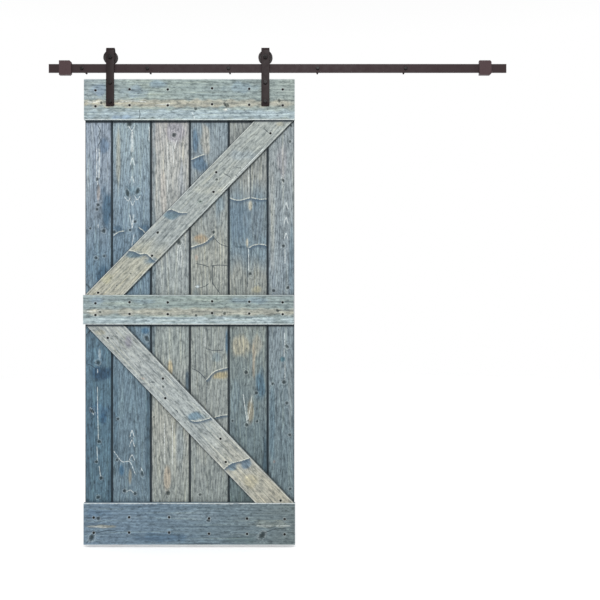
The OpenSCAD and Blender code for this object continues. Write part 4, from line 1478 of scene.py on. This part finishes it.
@dataclass
class Door:
    """The leaf: six planks under three rails and two braces, with its screw and bolt holes."""
    pitch: float = 4.0
    groove: float = 8.0
    chamfer: float = 4.0
    tongue: tuple[float, float, float, float] = (-20.7, -20.5, -14.5, -14.3)
    chamfer_y: float = -23.0
    plank_ease: float = 1.5
    rail_ease: float = 1.4
    head_hole: float = 4.7
    shank_hole: float = 2.3
    sink: float = 3.3
    bolt_hole: float = 5.2
    pocket: float = 12.0
    pocket_y: float = -19.0
    drill_from: float = -60.0

    def build(self) -> None:
        """Builds every board with the finish of its slot."""
        finishes = {slot: StainedPine(slot + "_sawn", line=line).build()
                    for slot, line in (("blue_stained_pine", 0.8), ("pale_stained_pine", 0.5))}
        for number in range(1, 7):
            self.plank(number).build(finishes["blue_stained_pine"], self.bolt_holes(f"plank_{number}"))
        for name in ("top_rail", "middle_rail", "bottom_rail"):
            self.rail(name).build(finishes["pale_stained_pine"], self.holes(name))
        for name in ("upper_brace", "lower_brace"):
            self.brace(name).build(finishes["pale_stained_pine"], self.holes(name))

    def plank(self, number: int) -> Board:
        """Makes one plank, with a groove or tongue on each side that meets a neighbour.

        Args:
            number: which plank, from the left.

        Returns:
            The plank, not yet built.
        """
        node = f"plank_{number}"
        low, high = node_box(node)
        front, back = low[1], high[1]
        right, left = high[0], low[0] + (self.groove if number > 1 else 0)
        g, c = self.groove, self.chamfer
        outer_cut, tongue_cut, tongue_back, groove_back = self.tongue
        if number > 1:
            left_side = [(left, back), (left, tongue_back), (left - g, tongue_back), (left - g, tongue_cut),
                         (left, tongue_cut), (left, self.chamfer_y), (left + c, front)]
        else:
            left_side = [(left, back), (left, front + self.plank_ease), (left + self.plank_ease, front)]
        if number < 6:
            right_side = [(right - c, front), (right, self.chamfer_y), (right, outer_cut),
                          (right - g, outer_cut), (right - g, groove_back), (right, groove_back),
                          (right, back)]
        else:
            right_side = [(right - self.plank_ease, front), (right, front + self.plank_ease), (right, back)]
        section = np.array(left_side + right_side)
        return Plank(node, "blue_stained_pine", FIGURES[node], section, np.array([0.0, high[2]]),
                     np.array([0.0, -1.0]), np.array([1.0, 0.0]), high[2] - low[2], front, back,
                     pitch=self.pitch, pale_edges=False)

    def rail(self, node: str) -> Board:
        """Makes one level rail with eased edges.

        Args:
            node: the CAD rail.

        Returns:
            The rail, not yet built.
        """
        low, high = node_box(node)
        corners = [(low[2], low[1]), (high[2], low[1]), (high[2], high[1]), (low[2], high[1])]
        section = round_corners(corners, self.rail_ease, 2, closed=True)
        return Board(node, "pale_stained_pine", FIGURES[node], section, np.array([low[0], 0.0]),
                     np.array([1.0, 0.0]), np.array([0.0, 1.0]), high[0] - low[0], low[1], high[1],
                     pitch=self.pitch, worn_ends=True)

    def brace(self, node: str) -> Board:
        """Makes one brace, its ends cut level against the rails.

        Args:
            node: the CAD brace.

        Returns:
            The brace, not yet built.
        """
        low, high = node_box(node)
        shape = BraceShape.read(node)
        corners = [(0.0, low[1]), (shape.foot, low[1]), (shape.foot, high[1]), (0.0, high[1])]
        section = round_corners(corners, self.rail_ease, 2, closed=True)
        length = np.hypot(*shape.run)
        return Board(node, "pale_stained_pine", FIGURES[node], section, shape.corner, shape.run / length,
                     np.array([1.0, 0.0]), length, low[1], high[1], ease=0.2, pitch=self.pitch)

    def holes(self, node: str) -> list[bpy.types.Object]:
        """Makes the cutters of a rail's or brace's countersunk screw holes and its bolt holes.

        Args:
            node: the CAD board.

        Returns:
            The cutters.
        """
        front, back = node_box(node)[:, 1]
        sunk = np.array([(front - 1, CORE), (front - 1, self.head_hole), (front + 0.2, self.head_hole),
                         (front + self.sink, self.shank_hole), (back + 1, self.shank_hole),
                         (back + 1, CORE)])
        centres = island_centres(node + "_screws", SCREWS_APART)
        return [turned("screw_hole", sunk, (x, z), 24) for x, z in centres] + self.bolt_holes(node)

    def bolt_holes(self, node: str) -> list[bpy.types.Object]:
        """Makes the cutters of the strap bolts' holes and nut pockets that reach into a board.

        Args:
            node: the CAD board.

        Returns:
            The cutters.
        """
        low, high = node_box(node)
        drill = np.array([(self.drill_from, CORE), (self.drill_from, self.bolt_hole),
                          (self.pocket_y, self.bolt_hole), (self.pocket_y, self.pocket),
                          (0.0, self.pocket), (0.0, CORE)])
        found = []
        for side in ("left", "right"):
            for place in ("upper", "lower"):
                ends = node_box(f"{side}_strap_bolt_{place}")
                x, z = ends.mean(axis=0)[[0, 2]]
                if low[0] - self.pocket < x < high[0] + self.pocket and low[2] < z < high[2]:
                    found.append(turned("bolt_hole", drill, (x, z), 40))
        return found
# The boards' own marks.  X and Z are in mm in the frame; a tone's place is along its board.
FIGURES = {
    "plank_1": Figure(
        [(0, "#8e9aa8"), (300, "#929fad"), (620, "#80909e"), (860, "#6a8598"), (1000, "#7f94a3"),
        (1250, "#5b788a"), (1600, "#567486"), (2134, "#5f7b8a")], -601.0, 0.006, 10.0, 11,
        patches=[
            (-573, -352, 30, 40, "#66809a", 0.7), (-560, -640, 34, 115, "#3d5f78", 0.85),
            (-585, -945, 34, 55, "#3c5c74", 0.8), (-600, -570, 9, 60, "#b5aba4", 0.6),
            (-640, -470, 16, 90, "#9fb0bd", 0.6), (-585, -1400, 60, 44, "#2d4e6a", 0.85),
            (-600, -1570, 60, 40, "#3d5f7c", 0.6), (-580, -1612, 22, 30, "#3c6484", 0.7),
            (-640, -1700, 18, 300, "#4a6579", 0.5), (-594, -1308, 7, 34, "#a9b9c2", 0.8),
            (-550, -1900, 16, 120, "#3f5b6e", 0.6)],
        knots=[
            (-605, -507, 6, 1.4, 0), (-601, -624, 7, 1, 0), (-605, -645, 6, 1, 0),
            (-576, -745, 8, 1.1, 20), (-637, -734, 5, 1, 0), (-610, -869, 7, 1, 0),
            (-573, -860, 6, 1, 0), (-601, -1351, 9, 1.1, 0), (-628, -1573, 6, 1.8, 40),
            (-596, -1715, 7, 1, 0), (-608, -1807, 6, 1, 0), (-587, -1882, 7, 1, 0),
            (-601, -1971, 8, 1, 0)],
        splits=[
            [(-601, -262), (-588, -284), (-600, -306), (-588, -330), (-601, -352)],
            [(-651, -1358), (-634, -1362), (-619, -1374)]],
        strokes=[
            [(-608, -365), (-607, -503)], [(-594, -372), (-596, -498)],
            [(-604, -512), (-604, -530)], [(-601, -716), (-601, -728)],
            [(-634, -1560), (-622, -1590)], [(-603, -1384), (-603, -1396)],
            [(-604, -1466), (-603, -1560), (-600, -1700)], [(-606, -1740), (-604, -1800)],
            [(-596, -1830), (-590, -1872)]]),
    "plank_2": Figure(
        [(0, "#8fa1a9"), (300, "#93a5ae"), (560, "#8296a4"), (800, "#71899b"), (1150, "#788f9e"),
        (1500, "#6f8694"), (2134, "#708592")], -445.0, -0.01, 10.0, 23,
        patches=[
            (-508, -420, 14, 170, "#a7a99e", 0.7), (-511, -738, 24, 22, "#4d6a80", 0.85),
            (-388, -735, 30, 34, "#4a6880", 0.8), (-385, -1203, 22, 18, "#46708f", 0.8),
            (-493, -1848, 14, 34, "#3d6a8a", 0.8), (-454, -1875, 10, 42, "#a39c88", 0.6),
            (-372, -1600, 12, 420, "#3b5667", 0.7), (-466, -571, 24, 36, "#5f7c8c", 0.6),
            (-420, -562, 24, 36, "#5f7c8c", 0.6), (-520, -1600, 14, 300, "#4c6a7d", 0.5)],
        knots=[
            (-457, -253, 11, 0.9, 0), (-466, -571, 8, 1.7, 15), (-420, -562, 8, 1.7, -15),
            (-431, -702, 6, 1, 0), (-454, -741, 6, 1, 0), (-527, -750, 7, 1, 0),
            (-377, -1239, 9, 1.3, 20), (-509, -1610, 6, 1, 0), (-514, -1798, 6, 1, 0),
            (-399, -1862, 6, 2, 10), (-479, -1942, 7, 1, 0), (-431, -1953, 7, 1, 0)],
        strokes=[
            [(-461, -262), (-445, -288), (-432, -262)],
            [(-453, -440), (-443, -402), (-434, -440)],
            [(-455, -520), (-445, -489), (-436, -520)], [(-448, -292), (-449, -380)],
            [(-441, -292), (-440, -380)], [(-365, -269), (-366, -329)],
            [(-478, -590), (-462, -612), (-452, -590)],
            [(-432, -585), (-422, -606), (-408, -585)],
            [(-450, -610), (-443, -632), (-434, -608)], [(-455, -672), (-445, -730)],
            [(-436, -672), (-443, -730)], [(-436, -764), (-445, -809)],
            [(-454, -1690), (-445, -1656), (-436, -1690)],
            [(-456, -1735), (-445, -1700), (-434, -1735)],
            [(-458, -1800), (-445, -1770), (-433, -1800)],
            [(-527, -1761), (-491, -1811), (-454, -1802), (-431, -1862)],
            [(-404, -1835), (-398, -1848)], [(-470, -1945), (-452, -1935), (-440, -1948)]],
        lips=[[(-527, -766), (-508, -752), (-486, -747)], [(-413, -732), (-398, -742), (-381, -759)]]),
    "plank_3": Figure(
        [(0, "#aaa9ab"), (400, "#aeb0ad"), (800, "#9fa7a8"), (1200, "#9ba4a2"), (1600, "#a6a9a3"),
        (2134, "#8f9a99")], -256.0, 0.007, 12.0, 31,
        patches=[
            (-346, -900, 14, 900, "#5e7583", 0.55), (-269, -1384, 14, 44, "#c0b393", 0.8),
            (-190, -1436, 12, 56, "#3b576a", 0.8), (-280, -1885, 20, 70, "#b8ab98", 0.7),
            (-300, -560, 18, 120, "#b8b4ae", 0.7), (-215, -560, 20, 160, "#98a0a9", 0.6),
            (-240, -290, 60, 60, "#8f8c9c", 0.5), (-220, -1700, 24, 160, "#8d9ba2", 0.5)],
        knots=[
            (-251, -304, 9, 1, 20), (-228, -798, 10, 1, 0), (-344, -1601, 4, 1, 0),
            (-280, -1951, 10, 1, 0)],
        strokes=[
            [(-262, -329), (-256, -395), (-251, -448)],
            [(-239, -329), (-247, -355), (-253, -378)],
            [(-280, -340), (-279, -470), (-281, -560)],
            [(-232, -815), (-238, -860), (-230, -900)],
            [(-222, -815), (-214, -860), (-220, -910)], [(-296, -1633), (-294, -1816)],
            [(-258, -1633), (-260, -1816)], [(-270, -1440), (-268, -1540)]]),
    "plank_4": Figure(
        [(0, "#8698a3"), (450, "#909ba0"), (800, "#9ea29c"), (1150, "#929a98"), (1600, "#99a09e"),
        (2134, "#8c9695")], -90.0, 0.006, 12.0, 47,
        patches=[
            (-153, -325, 16, 80, "#5c7b93", 0.8), (-107, -330, 26, 90, "#b0aea4", 0.7),
            (-136, -440, 44, 44, "#5b7890", 0.85), (-134, -784, 44, 26, "#aa9a80", 0.7),
            (-140, -776, 20, 10, "#a98a68", 0.4), (-148, -869, 10, 18, "#b5a294", 0.5),
            (-143, -1001, 11, 10, "#b9c9d2", 0.8), (-36, -1408, 44, 26, "#b5a985", 0.8),
            (-8, -1266, 10, 80, "#4a6e88", 0.8), (-150, -1060, 20, 60, "#7f9096", 0.5),
            (-45, -600, 26, 130, "#7d929e", 0.6), (-120, -1700, 30, 200, "#a8aca6", 0.5),
            (-60, -1330, 26, 30, "#7c909a", 0.6)],
        knots=[(-70, -750, 6, 1.3, 0), (-132, -1958, 6, 1, 0)],
        splits=[
            [(-72, -640), (-72, -786)], [(-65, -779), (-43, -805), (-6, -818)],
            [(-148, -896), (-120, -901), (-93, -910)], [(-75, -905), (-40, -902), (-6, -905)],
            [(-75, -905), (-75, -992)], [(-129, -1006), (-108, -1000), (-93, -988)],
            [(-70, -992), (-43, -1029)], [(-100, -1198), (-100, -1285)],
            [(-105, -1313), (-104, -1541)], [(-102, -1287), (-70, -1297), (-29, -1294)],
            [(-166, -1379), (-134, -1395), (-107, -1427)]],
        strokes=[[(-152, -1001), (-134, -1001)], [(-110, -1200), (-109, -1280)]],
        lips=[
            [(-171, -418), (-148, -407), (-116, -395)], [(-175, -821), (-107, -800), (-75, -768)],
            [(-102, -1432), (-65, -1390), (-1, -1374)], [(-70, -1605), (-40, -1597), (-6, -1592)]]),
    "plank_5": Figure(
        [(0, "#919898"), (450, "#939896"), (600, "#728896"), (800, "#7a8c96"), (900, "#959a96"),
        (1200, "#848f8e"), (1600, "#6f8086"), (2134, "#627374")], 92.0, 0.006, 12.0, 53,
        patches=[
            (45, -700, 70, 112, "#6b808f", 0.9), (135, -705, 70, 108, "#74838d", 0.9),
            (127, -1015, 26, 20, "#aeab94", 0.7), (60, -1278, 56, 60, "#adaa98", 0.8),
            (128, -1270, 30, 50, "#a8a69a", 0.6), (115, -1340, 8, 118, "#a69c8a", 0.7),
            (147, -1454, 32, 80, "#557588", 0.85), (98, -1570, 18, 78, "#a0977f", 0.65),
            (99, -630, 10, 26, "#d0cab4", 0.7), (85, -796, 7, 28, "#d3ceb9", 0.8),
            (168, -1800, 14, 200, "#3c5868", 0.7), (60, -819, 26, 8, "#3c5666", 0.7),
            (30, -1500, 24, 100, "#7f939c", 0.5)],
        knots=[
            (99, -942, 7, 1.1, 0), (79, -1395, 8, 1, 0), (127, -1491, 7, 1, 0),
            (17, -1619, 5, 1, 0), (131, -1621, 6, 1, 0), (83, -1637, 7, 1, 0)],
        splits=[[(99, -443), (99, -600)], [(85, -826), (86, -1001)]],
        strokes=[
            [(92, -450), (93, -590)], [(91, -830), (92, -925)], [(67, -1500), (85, -1628)],
            [(108, -1500), (90, -1610)]],
        lips=[
            [(3, -594), (28, -604), (53, -606), (95, -594)],
            [(108, -594), (145, -602), (177, -599)],
            [(95, -823), (113, -812), (136, -808), (163, -809), (177, -816)]]),
    "plank_6": Figure(
        [(0, "#8f999e"), (400, "#97a0a3"), (900, "#8d9aa2"), (1250, "#849299"), (1600, "#768890"),
        (2134, "#718389")], 261.0, -0.01, 10.0, 67,
        patches=[
            (250, -1335, 14, 16, "#3f7382", 0.75), (200, -700, 16, 300, "#a5a9a6", 0.5),
            (288, -900, 12, 260, "#6f8896", 0.6), (200, -1600, 16, 260, "#5f7a89", 0.6),
            (285, -1500, 14, 200, "#8d979b", 0.5), (209, -1807, 7, 9, "#9a8f8c", 0.7),
            (240, -420, 30, 90, "#a9a7ac", 0.5)],
        knots=[
            (287, -260, 5, 1.4, 20), (282, -334, 5, 1.2, 0), (250, -512, 6, 1.6, 40),
            (252, -814, 7, 1, 0), (207, -1020, 7, 1, 0), (271, -1006, 7, 1, 0),
            (268, -1276, 6, 1.5, 35), (202, -1448, 6, 1, 0), (255, -1441, 8, 1, 0),
            (268, -1537, 6, 1, 0), (280, -1683, 6, 1, 0), (282, -1932, 6, 1, 0)],
        splits=[[(264, -901), (264, -1000)]],
        strokes=[
            [(256, -640), (264, -608), (272, -640)], [(255, -709), (264, -677), (273, -709)],
            [(256, -778), (264, -750), (271, -778)], [(242, -500), (248, -524)],
            [(259, -832), (259, -892)], [(257, -1217), (258, -1267)],
            [(255, -1281), (255, -1322)], [(259, -1349), (259, -1427)]]),
    "top_rail": Figure(
        [(0, "#96a4a8"), (300, "#9aa8a4"), (600, "#94a3a3"), (966, "#99a5a1")],
        -155.0, 0.002, 14.0, 71,
        patches=[
            (-180, -163, 900, 23, "#aaa99c", 0.9), (-180, -212, 900, 28, "#a6b7be", 0.95),
            (-324, -74, 46, 24, "#7a92a4", 0.6), (-590, -100, 50, 34, "#8096ad", 0.6),
            (-15, -192, 12, 8, "#dde2dd", 0.8), (-430, -110, 70, 36, "#8b9fae", 0.6),
            (60, -90, 90, 30, "#8398a5", 0.6), (200, -215, 60, 20, "#b3c3c9", 0.6),
            (-615, -156, 40, 8, "#d2cfbf", 0.7), (-480, -226, 60, 12, "#8aa5c4", 0.5)],
        knots=[
            (-582, -160, 6, 1, 0), (-150, -187, 7, 1, 0), (-14, -169, 6, 2, 35),
            (-2, -171, 5, 1.6, 35), (232, -150, 7, 1, 0)],
        splits=[[(238, -150), (268, -147), (300, -148)], [(-407, -196), (-404, -214), (-409, -232)]],
        strokes=[
            [(-642, -155), (-615, -158), (-590, -152)],
            # the three strokes at z -236 are painted highlights along the rail's lower edge
            [(-166, -205), (-158, -218), (-155, -233)], [(-655, -236), (-300, -236)],
            [(-270, -236), (60, -236)], [(90, -236), (298, -236)],
            [(-500, -158), (-440, -150), (-380, -156)], [(-330, -170), (-270, -164)]]),
    "middle_rail": Figure(
        [(0, "#92a1a4"), (300, "#95a4a2"), (600, "#97a5a1"), (966, "#8f9e9f")],
        -1115.0, 0.002, 14.0, 83,
        patches=[
            (-180, -1118, 900, 22, "#a9aa9f", 0.9), (-180, -1156, 900, 20, "#b2c2c7", 0.9),
            (-610, -1068, 40, 20, "#8196a8", 0.6), (100, -1065, 110, 18, "#8399a6", 0.6),
            (-616, -1114, 36, 7, "#d0cdbd", 0.7), (-380, -1070, 60, 16, "#869ca9", 0.5)],
        knots=[
            (-587, -1118, 6, 1, 0), (-148, -1134, 6, 1, 0), (-17, -1125, 7, 1, 0),
            (226, -1111, 7, 1, 0)],
        splits=[[(232, -1111), (262, -1108), (298, -1109)]],
        strokes=[
            # the strokes at z -1173 are painted highlights along the rail's lower edge
            [(-646, -1114), (-616, -1117), (-587, -1111)], [(-660, -1173), (-260, -1173)],
            [(-230, -1173), (296, -1173)]]),
    "bottom_rail": Figure(
        [(0, "#748a9c"), (300, "#718798"), (600, "#728590"), (970, "#717f82")],
        -2100.0, 0.002, 14.0, 97,
        patches=[
            (-578, -2100, 76, 9, "#a8a692", 0.7), (-600, -2040, 60, 26, "#5c7892", 0.6),
            (-300, -2150, 160, 26, "#526d84", 0.75), (-150, -2050, 150, 26, "#8799a4", 0.7),
            (200, -2090, 120, 20, "#8f9994", 0.65), (60, -2160, 110, 18, "#5c6f74", 0.7),
            (-420, -2060, 60, 20, "#7f93a3", 0.5)],
        knots=[
            (-596, -2063, 7, 1, 0), (-91, -2072, 7, 1, 0), (-625, -2150, 10, 1.5, -30),
            (154, -2141, 11, 1.5, -40)],
        splits=[
            [(168, -2128), (210, -2112), (262, -2108)],
            [(-607, -2132), (-570, -2120), (-520, -2118)]],
        strokes=[
            # the strokes at z -1995 are a pale line along the rail's upper edge, partly wear and partly
            # painted highlight
            [(-660, -1995), (-330, -1996)], [(-300, -1995), (20, -1996)],
            [(50, -1995), (302, -1995)], [(131, -2097), (200, -2098)],
            [(222, -2097), (282, -2097)], [(-640, -2100), (-560, -2103)]]),
    "upper_brace": Figure(
        [(0, "#aeada0"), (330, "#adafa4"), (420, "#a2aaaa"), (800, "#a3aaa8"), (1150, "#a4aba8")],
        62.0, 0.004, 13.0, 101,
        patches=[
            (-262, -674, 58, 22, "#64808f", 0.85), (-440, -856, 46, 22, "#64808f", 0.85),
            (-352, -884, 34, 24, "#6a8596", 0.8), (236, -258, 24, 12, "#b0ad98", 0.5),
            (-128, -612, 16, 14, "#8a9894", 0.7), (-80, -560, 90, 24, "#b4b8b0", 0.5),
            (60, -400, 70, 30, "#94a2ab", 0.5), (-560, -960, 40, 30, "#bdbb9f", 0.6)],
        knots=[
            (-54, -511, 6, 1, 0), (-511, -997, 4, 1, 0), (-447, -942, 4, 1, 0),
            (-128, -612, 5, 1, 0)],
        splits=[
            [(166, -281), (182, -295)], [(35, -458), (56, -458)], [(-17, -485), (10, -501)],
            [(35, -491), (51, -503)]],
        # both strokes are painted highlights along the brace's upper and lower edges
        strokes=[[(-420, -760), (-300, -640), (-180, -520)], [(-30, -560), (60, -470), (160, -370)]],
        lips=[
            [(-280, -654), (-262, -647), (-239, -658), (-216, -665), (-193, -663)],
            [(-454, -837), (-431, -841), (-409, -853), (-377, -850), (-363, -860), (-340, -883),
             (-326, -887)]]),
    "lower_brace": Figure(
        [(0, "#b1afa2"), (250, "#aeb1ab"), (420, "#a8b0b0"), (800, "#a9b0b0"), (1130, "#a7adab")],
        62.0, 0.004, 13.0, 113,
        patches=[
            (-150, -1596, 56, 24, "#6a8799", 0.85), (22, -1828, 26, 24, "#68849a", 0.8),
            (80, -1814, 38, 24, "#68849a", 0.8), (-590, -1212, 38, 14, "#b0ad9a", 0.5),
            (-458, -1258, 20, 34, "#8d8c9a", 0.7), (-390, -1422, 12, 8, "#b3a49c", 0.6),
            (100, -1890, 50, 40, "#b9b49c", 0.7), (-300, -1420, 60, 40, "#bac0bd", 0.5)],
        knots=[(-299, -1459, 6, 1, 0)],
        splits=[
            [(-532, -1228), (-514, -1228)], [(-404, -1406), (-377, -1406)],
            [(-397, -1447), (-383, -1447)], [(-360, -1439), (-338, -1439)],
            [(-244, -1564), (-230, -1578)]],
        strokes=[
            # both strokes are painted highlights along the brace's upper and lower edges
            [(-560, -1290), (-440, -1410), (-320, -1530)],
            [(-120, -1560), (-20, -1660), (60, -1740)]],
        lips=[
            [(-171, -1615), (-148, -1621), (-116, -1615), (-79, -1603)],
            [(-27, -1843), (-11, -1830), (12, -1811), (44, -1804), (95, -1788)]]),
}


# ---------------------------------------------------------------- studio

@dataclass
class Studio:
    """A pale floor, an even white surround, one large soft light and the camera."""
    away: float = 3800.0          # from the rails' faces to the lens
    lens: float = 49.8
    right_of_middle: float = 103.0
    height: float = -1063.0
    floor_radius: float = 9000.0
    floor_gap: float = 12.0
    key_size: tuple[float, float] = (2600.0, 1500.0)
    key_from: tuple[float, float, float] = (300.0, -5000.0, 2300.0)
    key_watts: float = 170.0
    sky: str = "#ffffff"
    sky_low: float = 1.0
    sky_top: float = 0.62

    def build(self) -> None:
        """Makes the floor, the surround, the light and the camera."""
        self.floor()
        self.surround()
        self.light()
        self.camera()

    def floor(self) -> None:
        """Makes the floor disc (r cos q, r sin q) just under the door and marks it as stage."""
        q = np.linspace(0, 2 * math.pi, 96, endpoint=False)
        rim = np.stack([np.cos(q), np.sin(q), np.zeros_like(q)], axis=-1) * self.floor_radius
        rim[:, 2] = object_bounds()[0][2] / MM - self.floor_gap
        mesh = bpy.data.meshes.new("floor")
        mesh.from_pydata((rim * MM).tolist(), [], [tuple(range(len(q)))])
        disc = bpy.data.objects.new("floor", mesh)
        bpy.context.scene.collection.objects.link(disc)
        paper, shader = new_material("matt_white_paper")
        shader.inputs["Base Color"].default_value = linear("#f8f8f8")
        shader.inputs["Roughness"].default_value = 0.9
        shader.inputs["Emission Color"].default_value = linear("#ffffff")
        shader.inputs["Emission Strength"].default_value = 0.25
        mesh.materials.append(paper)
        disc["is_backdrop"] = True

    def surround(self) -> None:
        """Makes an even white world that is a little dimmer overhead, by the ray's upward part."""
        world = bpy.data.worlds.new("surround")
        world.use_nodes = True
        bpy.context.scene.world = world
        tree = world.node_tree
        up = add(tree, "SeparateXYZ", {0: add(tree, "TexCoord").outputs["Generated"]}).outputs["Z"]
        level = add(tree, "MapRange", {"Value": up, "From Min": 0.3, "From Max": 1.0,
                                       "To Min": self.sky_low, "To Max": self.sky_top})
        back = tree.nodes["Background"]
        back.inputs["Color"].default_value = linear(self.sky)
        tree.links.new(level.outputs["Result"], back.inputs["Strength"])

    def light(self) -> None:
        """Hangs a large soft light above and in front, aimed at the door's middle."""
        lamp = bpy.data.lights.new("key", "AREA")
        lamp.shape = "RECTANGLE"
        lamp.size, lamp.size_y = (s * MM for s in self.key_size)
        lamp.energy = self.key_watts
        key = bpy.data.objects.new("key", lamp)
        key.location = Vector(self.key_from) * MM
        door = node_box("plank_3")
        aim = Vector((door[0] + door[1]) / 2 * MM) - key.location
        key.rotation_euler = aim.to_track_quat("-Z", "Y").to_euler()
        key.visible_camera = False
        bpy.context.scene.collection.objects.link(key)

    def camera(self) -> None:
        """Sets the camera level and square to the wall, a little right of the track's middle."""
        track = node_box("track_bar")
        face = node_box("middle_rail")[0][1]
        lens = bpy.data.cameras.new("camera")
        lens.lens = self.lens
        lens.sensor_width = 36.0
        lens.clip_end = 100.0
        camera = bpy.data.objects.new("camera", lens)
        middle = (track[0][0] + track[1][0]) / 2
        camera.location = Vector((middle + self.right_of_middle, face - self.away, self.height)) * MM
        camera.rotation_euler = (math.pi / 2, 0.0, 0.0)
        bpy.context.scene.collection.objects.link(camera)
        bpy.context.scene.camera = camera
        bpy.context.scene.view_settings.view_transform = "Standard"


def main() -> None:
    """Builds the metal finishes, the track, the hangers and the door, dresses the kept CAD nodes, then
    builds the studio.
    """
    logging.basicConfig(level=logging.INFO, format="%(name)s: %(message)s")
    finishes = {slot: finish.build() for slot, finish in METALS.items()}
    Track().build(finishes)
    for side in ("left", "right"):
        Hanger(side).build(finishes)
    Door().build()
    dress_frame_nodes(finishes)
    Studio().build()


if __name__ == "__main__":
    main()
